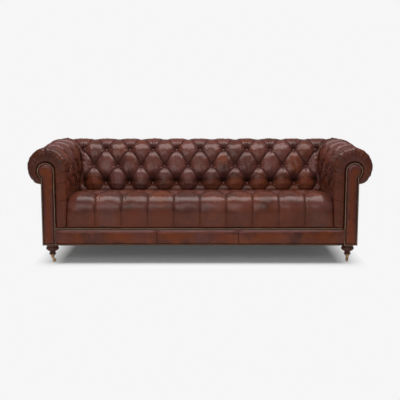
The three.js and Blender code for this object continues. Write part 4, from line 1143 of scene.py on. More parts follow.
def seat_surfaces(settings):
    """The rows of points along the seat's line, with its outer face and its inner sides over them."""
    line = seat_line()
    rows = np.arange(len(line), dtype=float)
    run = np.gradient(line, axis=0)
    run /= np.linalg.norm(run, axis=1)[:, None]
    last = SEAT_EVEN_COLUMNS * settings.pitch

    def at(along, values):
        return np.interp(along, rows, values)

    def outer(along, x):
        y, z = at(along, line[:, 0]), at(along, line[:, 1])
        way_y, way_z = -at(along, run[:, 1]), at(along, run[:, 0])
        from_end = SEAT_HALF - np.abs(x)
        beyond = np.maximum(0, np.abs(x) - last)
        column = np.sign(x) * (np.minimum(np.abs(x), last) / settings.pitch + beyond / (SEAT_HALF - last))
        near = np.abs(column - np.round(column)) * settings.pitch
        row = (y - SEAT_FIRST_ROW_Y) / SEAT_ROW_SPACING
        height, fold, worn = tufts(
            column, row, settings.pitch, SEAT_ROW_SPACING, settings, SEAT_SEED, SEAT_PUCKER)
        height, fold = seat_front(height, fold, near, smooth_share(-row, 0.25, 0.95), settings)
        corner = seat_corners(row, near, settings)
        gather = CORNER_GATHER_HEIGHT * np.cos(near * 2 * math.pi / CORNER_GATHER_LENGTH)
        height = height + corner * (CORNER_RISE + gather)
        fold = fold * (1 - 0.6 * corner)
        # The rounded edge is crinkled, most of all beside the pleats, and the panels bulge below it
        crinkle = CRINKLE_HEIGHT * ripple(x * 2.4, along * 0.004, CRINKLE_SIZE, SEAT_CRINKLE_SEED)
        crinkle *= bell(z - 0.442, 0.018) * (row < 0) * (0.5 + 1.2 * bell(near, 0.035))
        bulge = BULGE * bell(z - 0.335, 0.04) * (row < -0.3) * smooth_share(from_end, 0, 0.05)
        loose = SEAT_LOOSE_HEIGHT * ripple(x, y + z, SEAT_LOOSE_SIZE, SEAT_LOOSE_SEED)
        drop = END_DROP * (1 - smooth_share(from_end, -0.02, 0.075)) * smooth_share(z, 0.3, 0.43)
        rear = smooth_share(BACK_FACE_Y - y, 0, 0.05)
        foot = smooth_share(z, SEAT_FOOT, SEAT_FOOT + 0.03)
        proud = rear * (foot * (height + loose + crinkle + bulge) - drop)
        points = np.stack([x, y + proud * way_y, z + proud * way_z], axis=1)
        # Painted shade where the seat meets the arms and at its foot; its top is a little darker and its
        # lower front warmer; the band along the rounded edge and the corners behind the first buttons are
        # painted highlights in crimson-mauve
        dark = np.maximum.reduce([
            fold * rear, 0.8 * bell(from_end, 0.01),
            0.85 * (1 - smooth_share(z, SEAT_FOOT, SEAT_FOOT + 0.012))])
        share = smooth_share(z, SEAT_FOOT, SEAT_EDGE_HEIGHT)
        dark = np.maximum(dark * (0.4 + 0.6 * share), 0.14 * smooth_share(row, -0.35, 0))
        worn = worn * rear * 0.5 + 0.6 * (1 - smooth_share(z, 0.32, 0.37))
        return points, dark, worn - 0.55 * bell(z - 0.395, 0.03) * (row < 0) - 1.3 * corner

    def inner(side):
        def place(along):
            y = at(along, line[:, 0]) + SEAT_THICKNESS * at(along, run[:, 1])
            z = at(along, line[:, 1]) - SEAT_THICKNESS * at(along, run[:, 0])
            y = np.where(along > len(line) - 1.01, SEAT_BACK[0], np.minimum(SEAT_BACK[0], y))
            z = np.where(along < 0.01, SEAT_FOOT, z)
            return np.stack([np.full(len(along), side * SEAT_HALF), y, z], axis=1)
        return place

    return rows, outer, [inner(1), inner(-1)]


class SOFA_OT_seat_pad(bpy.types.Operator):
    """Makes the sprung seat's leather: pleated panels in front and diamonds behind them"""
    bl_idname = "sofa.seat_pad"
    bl_label = "Seat pad"

    def execute(self, context):
        settings = context.scene.sofa_buttoning
        last = SEAT_EVEN_COLUMNS * settings.pitch
        half = SEAT_EVEN_COLUMNS * 2 * CELLS
        ends = last + (SEAT_HALF - last) * np.arange(1, 2 * CELLS + 1) / (2 * CELLS)
        middle = np.arange(-half, half + 1) * (settings.pitch / (2 * CELLS))
        rows, outer, inner = seat_surfaces(settings)
        pad("seat_leather", two_sided(middle, ends), rows, outer, inner, ["seat_pad"])
        return {"FINISHED"}


# Buttons

BUTTON_PROFILE_SHARES = [
    (0, -0.3), (0.8, -0.3), (1, -0.1), (0.97, 0.12), (0.8, 0.34), (0.5, 0.5), (0.22, 0.56), (0, 0.58)]
BUTTON_STEPS = 14
BUTTON_LIFT = 0.0015
BACK_END_ROOM = 0.02     # what a button keeps from the end of its pad
ARM_FRONT_ROOM = 0.04
ARM_REAR_ROOM = 0.03
COPY_SHEEN = -0.8         # painted highlight: copies go the leather's brighter crimson-mauve


def add_copies(bm, shape, places):
    """Copies of a small shape, each at a place and facing a way."""
    worn = bm.verts.layers.float.new("worn")
    for place, way in places:
        before = len(bm.verts)
        bm.from_mesh(shape)
        bm.verts.ensure_lookup_table()
        turn = Matrix.Translation(place) @ Vector(way).to_track_quat("Z", "Y").to_matrix().to_4x4()
        for vert in bm.verts[before:]:
            vert.co = turn @ vert.co
            vert[worn] = COPY_SHEEN


def lifted(outer, along, column, way):
    """A button's place, just proud of a point of a pad's face."""
    point = outer(np.array([along]), np.array([column]))[0][0]
    return Vector(point) + BUTTON_LIFT * Vector(way), way


def back_buttons(settings):
    outer = back_surface(settings)
    rows = [BACK.top_length - row * settings.row_spacing for row in range(BACK_ROWS)]
    rows[0] = BACK.top_length - settings.row_spacing + settings.roll_spacing
    for row, along in enumerate(rows):
        across, up, way_y, way_z = (float(v) for v in BACK.at(along))
        end = float(arm_edge_x(np.array(across), np.array(up), 0))
        for k in range(-6, 7):
            x = (k + (0.5 if row % 2 == 0 else 0)) * settings.pitch
            if abs(x) < end - BACK_END_ROOM:
                yield lifted(outer, along, x, (0, way_y, way_z))


def arm_buttons(settings, side):
    outer = arm_surface(settings, side)
    count, step = arm_columns(settings)
    last_y = ARM_START_Y + count * step
    for row in range(ARM_ROWS):
        along = ARM.top_length - (row + 1) * settings.row_spacing
        across, up, way_x, way_z = (float(v) for v in ARM.at(along))
        end = float(back_edge_y(np.array(across), np.array(up + BACK_RISE), 0)) - MITRE_GAP
        for k in range(-1, 5):
            y = FIRST_ARM_PLEAT + (k + 0.5 * (row % 2)) * settings.arm_pitch
            if ARM_START_Y + ARM_FRONT_ROOM < y < end - ARM_REAR_ROOM:
                column = y - ARM_START_Y
                if y > last_y:
                    column = count * step + ENDING * (y - last_y) / (end - last_y)
                yield lifted(outer, along, column, (side * way_x, 0, way_z))


def seat_buttons(settings):
    seat = bpy.data.objects["seat_leather"].data
    corners = np.empty(len(seat.vertices) * 3)
    seat.vertices.foreach_get("co", corners)
    corners = corners.reshape(-1, 3)
    line = seat_line()
    for row in range(SEAT_ROWS):
        y = SEAT_FIRST_ROW_Y + row * SEAT_ROW_SPACING
        # The line's own point at this row, and none of those down the seat's front
        index = int(np.argmin(np.abs(line[:, 0] - y) + (line[:, 1] < 0.38)))
        run = line[index + 1] - line[index - 1]
        way = Vector((0, -run[1], run[0])).normalized()
        for k in range(-SEAT_EVEN_COLUMNS, SEAT_EVEN_COLUMNS + 1 - row % 2):
            x = (k + 0.5 * (row % 2)) * settings.pitch
            near = corners[(np.abs(corners[:, 0] - x) < 0.001) & (corners[:, 2] > 0.36)]
            yield Vector(near[np.argmin(np.abs(near[:, 1] - y))]) + BUTTON_LIFT * way, way


class SOFA_OT_buttons(bpy.types.Operator):
    """Makes the covered buttons of back, arms and seat"""
    bl_idname = "sofa.buttons"
    bl_label = "Buttons"

    def execute(self, context):
        settings = context.scene.sofa_buttoning
        shape = turned_shape("button_shape", BUTTON_PROFILE_SHARES, settings.button_radius, BUTTON_STEPS)
        for name, places in (
            ("back_buttons", back_buttons(settings)),
            ("arm_buttons_left", arm_buttons(settings, -1)),
            ("arm_buttons_right", arm_buttons(settings, 1)),
            ("seat_buttons", seat_buttons(settings)),
        ):
            bm = bmesh.new()
            add_copies(bm, shape, places)
            piece(bm, name, "leather")
        bpy.data.meshes.remove(shape)
        return {"FINISHED"}


# Border, facings and nails

def even_points(points, spacing):
    """Points at an even distance along a line."""
    points = np.array(points)
    lengths = np.concatenate([[0], np.cumsum(np.linalg.norm(np.diff(points, axis=0), axis=1))])
    count = max(1, round(lengths[-1] / spacing))
    wanted = np.linspace(0, lengths[-1], count + 1)[:-1]
    return list(zip(*(np.interp(wanted, lengths, points[:, k]) for k in range(points.shape[1]))))


def facing_outline(inset):
    """The facing's edge for the right arm, as (x, z), anticlockwise from its inner foot."""
    left, right = FACING_INNER_X + inset, FACING_INNER_X + FACING_WIDTH - inset
    foot, radius = BORDER_FOOT + inset, FACING_HEAD_RADIUS - inset
    last = -math.acos(min(1, (right - FACING_HEAD_X) / radius))
    head = [(FACING_HEAD_X + radius * math.cos(a), FACING_HEAD_HEIGHT + radius * math.sin(a))
            for a in np.linspace(last, math.pi, 41)]
    up, down = np.linspace(0, 1, 25)[:-1], np.linspace(0, 1, 26)[1:-1]
    outline = [(left + t * (right - left), foot) for t in np.linspace(0, 1, 7)[:-1]]
    outline += [(right, foot + t * (head[0][1] - foot)) for t in up]
    return outline + head + [(left, FACING_HEAD_HEIGHT + t * (foot - FACING_HEAD_HEIGHT)) for t in down]


# From the back of a facing over its piping to its crown: how far in from the edge, how far forward of the
# strip's face, how much darker and how worn
FACING_RINGS = [
    (0.0004, STRIP_Y - FACING_HIGH.y, 0.6, 0), (0.0004, 0, 0.6, 0), (0.0014, 0.0008, 0.7, 0),
    (0.0096, 0.0008, 0.7, 0), (0.0108, -0.0006, 1, 0), (0.0128, 0.0012, 0.5, 0),
    (0.0155, 0.0042, 0.2, 0), (0.0185, 0.0068, 0.05, -0.1), (0.0225, 0.009, 0, 0),
    (0.028, 0.0104, 0, 0.3), (0.0345, 0.0111, 0, 0.7), (0.0425, 0.0113, 0, 0.9)]
FACING_HIGHLIGHT_RINGS = (0.0128, 0.03)      # insets between which the head of a facing is lightened most, as a painted highlight


class SOFA_OT_facings(bpy.types.Operator):
    """Makes the crowned leather facings in front of the arms"""
    bl_idname = "sofa.facings"
    bl_label = "Facings"

    def execute(self, context):
        rim_start, rim_end = FACING_HIGHLIGHT_RINGS
        for side, word in SIDES:
            bm = bmesh.new()
            worn = bm.verts.layers.float.new("worn")
            fold = bm.verts.layers.float.new("fold")
            edges = []
            for inset, out, folded, rubbed_and_sheen in FACING_RINGS:
                outline = facing_outline(inset)
                ring = bmesh.ops.create_circle(bm, segments=len(outline), radius=1)["verts"]
                for vert, (x, z) in zip(ring, outline):
                    vert.co = (side * x, STRIP_Y - out, z)
                    vert[fold] = folded
                    # Painted highlight: the top of the head goes a brighter crimson-mauve, most between the
                    # highlight rings
                    head = min(1.0, max(0.0, (z - FACING_HEAD_HEIGHT + 0.01) / 0.03))
                    vert[worn] = rubbed_and_sheen - head * (0.9 if rim_start < inset < rim_end else 0.4)
                edges.append([e for v in ring for e in v.link_edges if e.verts[0] == v])
            for one, two in zip(edges, edges[1:]):
                bmesh.ops.bridge_loops(bm, edges=one + two)
            bmesh.ops.holes_fill(bm, edges=open_edges(bm), sides=0)
            face_outwards(bm)
            made = piece(bm, f"facing_leather_{word}", "border_leather", stands_for=[f"facing_panel_{word}"])
            sharpen(made, 50)
        return {"FINISHED"}


# From an edge of the border over its piping to its middle: how far in, and how far forward of the strip
BORDER_PROFILE = [
    (0, -0.0008), (0.001, 0), (0.0095, 0.0002), (0.0112, -0.0009), (0.0133, 0.0008), (0.0155, 0.003),
    (0.018, 0.0056), (0.0205, 0.0081), (0.0235, 0.0104), (0.0275, 0.0124), (0.034, 0.0138),
    (0.043, 0.0144), (0.059, 0.0146)]
BORDER_COLUMNS = 241
BORDER_HEIGHT = BORDER_TOP - BORDER_FOOT
STRIP_OUT = 0.0002       # what stands further forward than this is the padded middle
SEAM_DEPTH = 0.0022
SEAM_REACH = 0.0018
SEAM_WAX_REACH = 0.003
BROAD_SWELL = 0.0006
BROAD_SWELL_SIZE = 0.12
FINE_SWELL = 0.0007
FINE_SWELL_SIZE = 0.035


def border_surface(x, height, out):
    """A point of the border's face, how darkened it is there, and how worn or lightened by a painted
    highlight.
    """
    def uneven(x_size, stretch, seed):
        return float(ripple(np.array(x), np.array(height * stretch), x_size, seed))

    swell_seed, tone_seed, highlight_band_seed, fine_seed = BORDER_SEEDS
    gap = min(abs(x - seam) for seam in SEAMS)
    inside = min(height, BORDER_HEIGHT - height)
    from_top = BORDER_HEIGHT - height
    middle = min(1, max(0, inside - 0.011) * 100)
    dent = SEAM_DEPTH * bell(gap, SEAM_REACH) * middle
    swell = BROAD_SWELL * uneven(BROAD_SWELL_SIZE, 2, swell_seed)
    swell += FINE_SWELL * uneven(FINE_SWELL_SIZE, 0.7, fine_seed) * bell(from_top - 0.019, 0.01)
    # Between its seams the border is stuffed like a pillow
    ease = float(smooth_share(min(gap, BORDER_END_X - abs(x)), 0, 0.035))
    out = min(out, STRIP_OUT) + max(0.0, out - STRIP_OUT) * (0.55 + 0.45 * ease)
    fold = max(0.85 * bell(gap, SEAM_WAX_REACH) * middle, 0.16 * float(smooth_share(abs(x), 0.5, 0.75)),
               max(0.0, 0.8 - max(0.0, inside - 0.0118) * 130))
    tone = 0.35 + 0.9 * uneven(0.34, 0.4, tone_seed)
    tone *= 1 - float(smooth_share(abs(height / BORDER_HEIGHT - 0.47), 0.15, 0.42))
    # Painted highlight: a crimson-mauve band just under the top nails, where the padded top turns up to the
    # light
    painted_highlight_band = max(0.0, 1 - abs(from_top - 0.021) / 0.012) * (1.0 + 0.6 * uneven(0.3, 1, highlight_band_seed))
    worn = tone * min(1, max(0, inside - 0.016) * 40) - 1.3 * painted_highlight_band
    return (x, STRIP_Y - out + dent - swell * middle, BORDER_FOOT + height), fold, worn


class SOFA_OT_border(bpy.types.Operator):
    """Makes the leather-covered front border with its two sewn seams"""
    bl_idname = "sofa.border"
    bl_label = "Front border"

    def execute(self, context):
        profile = BORDER_PROFILE + [(BORDER_HEIGHT - h, out) for h, out in reversed(BORDER_PROFILE[:-1])]
        beside = np.array([-0.006, -0.003, -0.0012, 0, 0.0012, 0.003, 0.006])
        xs = np.concatenate([
            np.linspace(-BORDER_END_X, BORDER_END_X, BORDER_COLUMNS), *[seam + beside for seam in SEAMS]])
        xs = np.unique(np.round(xs, 5))
        bm = bmesh.new()
        fold = bm.verts.layers.float.new("fold")
        worn = bm.verts.layers.float.new("worn")
        bmesh.ops.create_grid(bm, x_segments=len(xs) - 1, y_segments=len(profile) - 1, size=0.5)
        for vert in bm.verts:
            i = round((vert.co.x + 0.5) * (len(xs) - 1))
            j = round((vert.co.y + 0.5) * (len(profile) - 1))
            vert.co, vert[fold], vert[worn] = border_surface(xs[i], *profile[j])
        wall_back(bm, 1, BORDER_HIGH.y)
        face_outwards(bm)
        made = piece(bm, "border_leather_cover", "border_leather", stands_for=["front_border"])
        sharpen(made, 50)
        return {"FINISHED"}


NAIL_PROFILE_SHARES = [(0, -0.35), (0.9, -0.35), (1, -0.1), (0.86, 0.28), (0.5, 0.52), (0, 0.6)]
NAIL_STEPS = 8
NAIL_Y = STRIP_Y - 0.0012
NAIL_STRAY = 0.0004      # how far a nail may stand out of line
NAIL_TIP = 0.08          # how far it may lean, as a slope


class SOFA_OT_nails(bpy.types.Operator):
    """Makes the rows of brass nails along the border and round the facings"""
    bl_idname = "sofa.nails"
    bl_label = "Brass nails"

    def execute(self, context):
        trim = context.scene.sofa_trim
        shape = turned_shape("nail_shape", NAIL_PROFILE_SHARES, trim.nail_radius, NAIL_STEPS)
        draws = np.random.default_rng(NAIL_SEED)

        def nails(name, line, stands_for):
            places = []
            for x, z in line:
                aside, up = draws.uniform(-NAIL_STRAY, NAIL_STRAY, 2)
                tip_x, tip_z = draws.uniform(-NAIL_TIP, NAIL_TIP, 2)
                places.append((Vector((x + aside, NAIL_Y, z + up)), Vector((tip_x, -1, tip_z))))
            bm = bmesh.new()
            add_copies(bm, shape, places)
            piece(bm, name, "nail_brass", stands_for=stands_for)

        outline = facing_outline(NAIL_INSET)
        edge = even_points(outline + [outline[0]], trim.nail_pitch)
        for side, word in SIDES:
            line = [(side * x, z) for x, z in edge]
            nails(f"facing_nails_{word}", line, [f"facing_stud_strip_{word}"])
        half = BORDER_END_X - NAIL_INSET
        for z, word in ((BORDER_FOOT + NAIL_INSET, "lower"), (BORDER_TOP - NAIL_INSET, "upper")):
            line = even_points([(-half, z), (half, z)], trim.nail_pitch)
            nails(f"border_nails_{word}", line, [f"border_stud_strip_{word}"])
        bpy.data.meshes.remove(shape)
        return {"FINISHED"}


# Outside covers and underside

COVER_BACK = 0.0002
ARM_COVER_SWELL = 0.003
BACK_COVER_SWELL = 0.004


def cover(name, outline, face, stands_for, thickness, swell):
    """A flat leather cover with softened edges. face places a point of the outline, out by a distance."""
    bm = bmesh.new()
    fold = bm.verts.layers.float.new("fold")
    plate = bm.faces.new([bm.verts.new((x, y, 0)) for x, y in outline])
    for vert in plate.verts:
        vert[fold] = 0.8
    out = 0.0
    for inset, rise in ((0.0018, thickness * 0.55), (0.006, thickness * 0.4), (0.02, swell * 0.4),
                        (0.04, swell * 0.35), (0.06, swell * 0.25)):
        bmesh.ops.inset_region(bm, faces=[plate], thickness=inset, use_boundary=True, use_even_offset=True)
        out += rise
        for vert in plate.verts:
            vert.co.z = out
            vert[fold] = 0
    wall_back(bm, 2, -COVER_BACK)
    for vert in bm.verts:
        vert.co = face(*vert.co)
    face_outwards(bm)
    made = piece(bm, name, "leather", stands_for=stands_for)


class SOFA_OT_outside_covers(bpy.types.Operator):
    """Makes the outside covers of arms and back, and the welts along their edges"""
    bl_idname = "sofa.outside_covers"
    bl_label = "Outside covers"

    def execute(self, context):
        radius = context.scene.sofa_trim.welt_radius
        foot, front, rear = ARM_COVER_LOW.z, ARM_COVER_LOW.y, ARM_COVER_HIGH.y
        top_rear = ARM_COVER_HIGH.z
        top_front = top_rear - BACK_RISE
        inner_x = ARM_COVER_LOW.x + COVER_BACK
        outline = [(front, foot), (rear, foot), (rear, top_rear), (BACK_FACE_Y, top_rear), (front, top_front)]
        half, top = BACK_COVER_HIGH.x, BACK_COVER_HIGH.z
        for side, word in SIDES:
            cover(f"outside_arm_cover_{word}", outline, lambda y, z, out, s=side: (s * (inner_x + out), y, z),
                  [f"outside_arm_panel_{word}"], COVER_THICKNESS - COVER_BACK, ARM_COVER_SWELL)
            x, y = side * (SIDE_X - radius * 0.4), front + 0.002
            bm = welt((x, y, foot + 0.001), (x, y, top_front), radius)
            piece(bm, f"front_corner_welt_{word}", "leather")
            x, y = side * (SIDE_X + 0.001), BACK_SIDE_Y + 0.001
            bm = welt((x, y, foot + 0.001), (x, y, top - 0.002), radius)
            piece(bm, f"back_corner_welt_{word}", "leather")
        outline = [(-half, foot), (half, foot), (half, top), (-half, top)]
        cover("outside_back_cover", outline, lambda x, z, out: (x, BACK_COVER_LOW.y + out, z),
              ["outside_back_panel"], COVER_THICKNESS, BACK_COVER_SWELL)
        return {"FINISHED"}


CLOTH_THICKNESS = 0.0006
CLOTH_CELLS = (60, 28)
FOAM_EDGE = 0.006


class SOFA_OT_underside(bpy.types.Operator):
    """Makes the dust cloth, the hessian over the springs and the seat's foam"""
    bl_idname = "sofa.underside"
    bl_label = "Underside and filling"

    def execute(self, context):
        for name, node, finish in (
            ("dust_cloth", "dust_cover", "black_cloth"), ("hessian_cloth", "seat_hessian", "hessian"),
        ):
            low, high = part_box(node)
            size = high - low
            place = Matrix.Translation((low + high) / 2) @ Matrix.Diagonal((size.x, size.y, 1, 1))
            bm = bmesh.new()
            x_cells, y_cells = CLOTH_CELLS
            bmesh.ops.create_grid(bm, x_segments=x_cells, y_segments=y_cells, size=0.5, matrix=place)
            bmesh.ops.solidify(bm, geom=bm.faces[:], thickness=CLOTH_THICKNESS)
            face_outwards(bm)
            made = piece(bm, name, finish, stands_for=[node])

        bm = merged_copy("seat_foam")
        bevel_edges(bm, [e for e in bm.edges if e.calc_face_angle(0) > 0.9], FOAM_EDGE, 3)
        made = piece(bm, "seat_foam_block", "foam", stands_for=["seat_foam"])
        return {"FINISHED"}


# Feet and castors

# The turned foot from its sole up, as shares of its radius and of its height
FOOT_SHARES = [
    (0.4, 0), (0.5, 0.008), (0.53, 0.03), (0.545, 0.075), (0.53, 0.12), (0.47, 0.15), (0.415, 0.18),
    (0.4, 0.215), (0.43, 0.26), (0.52, 0.31), (0.66, 0.37), (0.82, 0.435), (0.94, 0.5), (0.99, 0.56),
    (1, 0.61), (0.975, 0.68), (0.92, 0.74), (0.86, 0.785), (0.85, 0.81), (0.875, 0.83), (0.925, 0.855),
    (0.945, 0.9), (0.945, 1)]
FOOT_STEPS = 48
STUD_RADIUS = 0.006
REAR_FOOT_EDGE = 0.0022
CASTOR_STEPS = 32
FORK_EDGE = 0.0005
AXLE_EDGE = 0.0004


class SOFA_OT_feet(bpy.types.Operator):
    """Makes the turned front feet and the tapered rear feet"""
    bl_idname = "sofa.feet"
    bl_label = "Feet"

    def execute(self, context):
        for _, word in SIDES:
            low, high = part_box(f"front_foot_{word}")
            centre = ((low.x + high.x) / 2, (low.y + high.y) / 2, 0)
            radius = (high.x - low.x) / 2
            foot, top = low.z, BORDER_FOOT - TOUCH
            profile = [(0, foot)] + [(r * radius, foot + h * (top - foot)) for r, h in FOOT_SHARES]
            profile += [(STUD_RADIUS, top), (STUD_RADIUS, high.z), (0, high.z)]
            bm = bmesh.new()
            turned(bm, profile, centre, steps=FOOT_STEPS)
            made = piece(bm, f"turned_foot_{word}", "polished_wood", stands_for=[f"front_foot_{word}"])
            sharpen(made, 60)

            bm = merged_copy(f"rear_foot_{word}")
            edges = [e for e in bm.edges if e.calc_length() > 0.02 and e.calc_face_angle(0) > 1
                     and min(v.co.z for v in e.verts) < 0.1]
            bevel_edges(bm, edges, REAR_FOOT_EDGE, 3)
            made = piece(bm, f"tapered_foot_{word}", "polished_wood", stands_for=[f"rear_foot_{word}"])
            sharpen(made, 35)
        return {"FINISHED"}


def cup_profile(low, top):
    """A castor's cup, down its outside to its pin plate and up the bore for the pin."""
    rim = [(0, 0), (0.0142, 0), (0.0154, 0.0006), (0.0158, 0.0016), (0.0156, 0.0045), (0.0148, 0.0052),
           (0.0145, 0.008)]
    body = [(0.0123, 0.0425), (0.0106, 0.037), (0.0106, 0.0352), (0.0101, 0.0335), (0.0092, 0.0312)]
    bore_radius, bore_top = 0.0036, 0.0473
    return ([(radius, top - below) for radius, below in rim] + body
            + [(0.009, low), (bore_radius, low), (bore_radius, bore_top), (0, bore_top)])


def wheel_profile(half):
    """A castor's wheel: bore, hub, web and rounded tread, the same on both of its sides."""
    side = [(0.0023, 0), (0.0052, 0), (0.0058, 0.0012), (0.0088, 0.0012), (0.0096, 0), (0.0112, 0),
            (0.0119, 0.0006), (0.0123, 0.0018)]
    near = [(radius, inset - half) for radius, inset in side]
    return near + [(radius, -along) for radius, along in reversed(near)] + near[:1]


class SOFA_OT_castors(bpy.types.Operator):
    """Makes the brass cups and wheels of the castors, and softens the edges of forks and axles"""
    bl_idname = "sofa.castors"
    bl_label = "Castors"

    def execute(self, context):
        for word, turn in (("left", 0.0), ("right", math.pi / 2)):
            low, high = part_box(f"castor_cup_{word}")
            centre = ((low.x + high.x) / 2, (low.y + high.y) / 2, 0)
            bm = bmesh.new()
            turned(bm, cup_profile(low.z, high.z), centre, steps=CASTOR_STEPS)
            made = piece(bm, f"cup_{word}", "aged_brass", stands_for=[f"castor_cup_{word}"])
            sharpen(made, 50)

            low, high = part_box(f"castor_wheel_{word}")
            bm = bmesh.new()
            half = min(high.x - low.x, high.y - low.y) / 2
            turned(bm, wheel_profile(half), axis="Y", steps=CASTOR_STEPS)
            place = Matrix.Translation((low + high) / 2) @ Matrix.Rotation(turn, 4, "Z")
            bmesh.ops.transform(bm, matrix=place, verts=bm.verts[:])
            made = piece(bm, f"wheel_{word}", "aged_brass", body=f"wheel_{word}",
                         stands_for=[f"castor_wheel_{word}"])
            sharpen(made, 40)
            soften(f"castor_fork_{word}", "aged_brass", FORK_EDGE)
            soften(f"castor_axle_{word}", "aged_brass", AXLE_EDGE)
        return {"FINISHED"}


def soften(name, finish, width):
    """Gives a kept part of the frame its finish and, where they have a width, rounded edges."""
    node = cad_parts[name]
    node.data.materials.clear()
    node.data.materials.append(MATERIALS[finish])
    if width:
        node.modifiers.new("weld", "WELD").merge_threshold = 1e-5
        bevel = node.modifiers.new("edges", "BEVEL")
        bevel.width = width
        bevel.segments = 2
        bevel.limit_method = "ANGLE"
        bevel.angle_limit = math.radians(35)


FRAME_EDGE = 0.0012
FRAME_FINISHES = {
    "frame_wood_x": ["front_rail", "back_rail", "back_top_rail", "back_tack_rail",
                     "front_corner_block_*", "rear_corner_block_*"],
    "frame_wood_y": ["seat_stretcher", "side_rail_*", "arm_top_rail_*", "arm_tack_rail_*"],
    "ply": ["back_liner", "arm_front_board_*", "arm_rear_board_*", "arm_liner_*", "back_board_inner_*",
            "back_board_outer_*"],
    "spring_steel": ["seat_spring_inner_*", "seat_spring_outer_*"],
}


class SOFA_OT_frame_parts(bpy.types.Operator):
    """Gives the frame's rails, boards, liners and springs their finishes"""
    bl_idname = "sofa.frame_parts"
    bl_label = "Frame parts"

    def execute(self, context):
        for finish, names in FRAME_FINISHES.items():
            width = 0 if finish == "spring_steel" else FRAME_EDGE
            for name in names:
                words = ("left", "right") if name.endswith("*") else ("",)
                for word in words:
                    soften(name.replace("*", word), finish, width)
        return {"FINISHED"}


# Stage

FLOOR_HALF = 30
SHADOW_LIFT_GLOW = 0.07             # painted light: how much of the backdrop's glow the lit floor has, which lightens the sofa's shadow
FADE_ASIDE = (0.91, 1.11)     # from the middle along X, where the lit floor passes into the backdrop
FADE_AHEAD = (0.44, 0.62)     # the same along Y
# Place, target, size and the setting that holds the power of each softbox
SOFTBOXES = {
    "top_softbox": ((0, -0.5, 3.0), (0, -0.1, 0.4), (3.6, 1.9), "top_light"),
    "front_softbox": ((-1.2, -5.2, 2.6), (0, 0, 0.5), (4.0, 2.4), "front_light"),
}


def add_to_scene(name, data):
    made = bpy.data.objects.new(name, data)
    bpy.context.scene.collection.objects.link(made)
    return made


def floor_material(backdrop):
    """A floor that is lit round the sofa's foot, and glows as the backdrop does further off; near the sofa a
    faint glow is painted light that lightens its shadow.
    """
    shader = new_shader("studio_floor")
    camera_ray = shader.node("ShaderNodeLightPath").outputs["Is Camera Ray"]
    place = shader.node("ShaderNodeVectorMath", {0: shader.place()}, operation="ABSOLUTE").outputs["Vector"]
    parts = shader.node("ShaderNodeSeparateXYZ", {"Vector": place}).outputs
    either = shader.math("MAXIMUM", shader.spread(parts["X"], 0.0, 1.0, *FADE_ASIDE),
                         shader.spread(parts["Y"], 0.0, 1.0, *FADE_AHEAD))
    factor = shader.math("MULTIPLY", shader.spread(either, SHADOW_LIFT_GLOW, 1.0), camera_ray)
    cloth = shader.node("ShaderNodeBsdfDiffuse", {"Color": (0.9, 0.9, 0.9)}).outputs[0]
    glow = shader.node("ShaderNodeEmission", {"Color": (backdrop,) * 3, "Strength": 1.0}).outputs[0]
    both = shader.node("ShaderNodeMixShader", {0: factor, 1: cloth, 2: glow})
    shader.node("ShaderNodeOutputMaterial", {"Surface": both.outputs[0]})
    return shader.owner


def make_world(dome, backdrop):
    """Pale surroundings, which the camera sees as bright as the backdrop."""
    world = Shader(bpy.data.worlds.new("studio"))
    path = world.node("ShaderNodeLightPath").outputs
    seen = world.math("MAXIMUM", path["Is Camera Ray"], path["Is Transmission Ray"])
    background = world.node("ShaderNodeBackground", {
        "Color": (1, 1, 1), "Strength": world.spread(seen, dome, backdrop)})
    world.node("ShaderNodeOutputWorld", {"Surface": background.outputs[0]})
    return world.owner


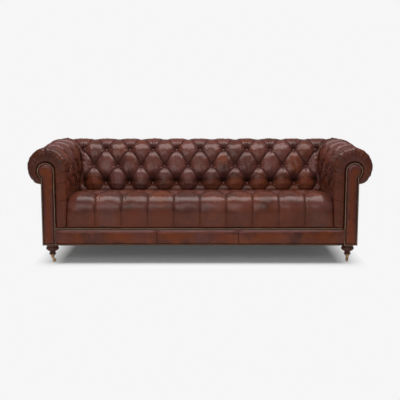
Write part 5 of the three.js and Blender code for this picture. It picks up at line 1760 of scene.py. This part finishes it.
class SOFA_OT_stage(bpy.types.Operator):
    """Makes the pale floor and surroundings, the soft lights and the camera"""
    bl_idname = "sofa.stage"
    bl_label = "Studio"

    def execute(self, context):
        settings = context.scene.sofa_stage
        bm = bmesh.new()
        bmesh.ops.create_grid(bm, x_segments=8, y_segments=8, size=FLOOR_HALF)
        mesh = bpy.data.meshes.new("floor")
        bm.to_mesh(mesh)
        bm.free()
        mesh.materials.append(floor_material(settings.backdrop))
        add_to_scene("floor", mesh)
        context.scene.world = make_world(settings.dome, settings.backdrop)

        for name, (place, target, size, power) in SOFTBOXES.items():
            data = bpy.data.lights.new(name, "AREA")
            data.shape = "RECTANGLE"
            data.size, data.size_y = size
            data.energy = getattr(settings, power)
            light = add_to_scene(name, data)
            light.location = place
            light.rotation_euler = (Vector(target) - Vector(place)).to_track_quat("-Z", "Y").to_euler()

        data = bpy.data.cameras.new("camera")
        data.lens = CAMERA_LENS
        data.sensor_width = CAMERA_SENSOR
        camera = add_to_scene("camera", data)
        camera.location = CAMERA_PLACE
        camera.rotation_euler = (math.radians(90 - CAMERA_TILT), 0, 0)
        context.scene.camera = camera
        context.scene.view_settings.view_transform = "Standard"
        return {"FINISHED"}


# Panel and registration

STEPS = (
    SOFA_OT_frame_parts, SOFA_OT_seat_pad, SOFA_OT_back_pad, SOFA_OT_arm_pads, SOFA_OT_buttons,
    SOFA_OT_facings, SOFA_OT_border, SOFA_OT_nails, SOFA_OT_outside_covers, SOFA_OT_underside,
    SOFA_OT_feet, SOFA_OT_castors, SOFA_OT_stage,
)


class SOFA_PT_panel(bpy.types.Panel):
    """Lists the sofa's settings and the steps that make it"""
    bl_label = "Sofa"
    bl_idname = "SOFA_PT_panel"
    bl_space_type = "VIEW_3D"
    bl_region_type = "UI"
    bl_category = "Sofa"

    def draw(self, context):
        for group in GROUPS:
            settings = getattr(context.scene, group)
            box = self.layout.box()
            for key in settings.__annotations__:
                box.prop(settings, key)
        for step in STEPS:
            self.layout.operator(step.bl_idname)


GROUPS = {
    "sofa_buttoning": ButtoningSettings, "sofa_trim": TrimSettings, "sofa_finish": FinishSettings,
    "sofa_stage": StageSettings,
}
CLASSES = (*GROUPS.values(), *STEPS, SOFA_PT_panel)


def register():
    for made in CLASSES:
        bpy.utils.register_class(made)
    for name, group in GROUPS.items():
        setattr(bpy.types.Scene, name, bpy.props.PointerProperty(type=group))


def unregister():
    for name in GROUPS:
        delattr(bpy.types.Scene, name)
    for made in reversed(CLASSES):
        bpy.utils.unregister_class(made)


def main():
    register()
    make_materials(bpy.context.scene.sofa_finish)
    for step in STEPS:
        group, name = step.bl_idname.split(".")
        getattr(getattr(bpy.ops, group), name)()
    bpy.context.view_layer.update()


if __name__ == "__main__":
    main()
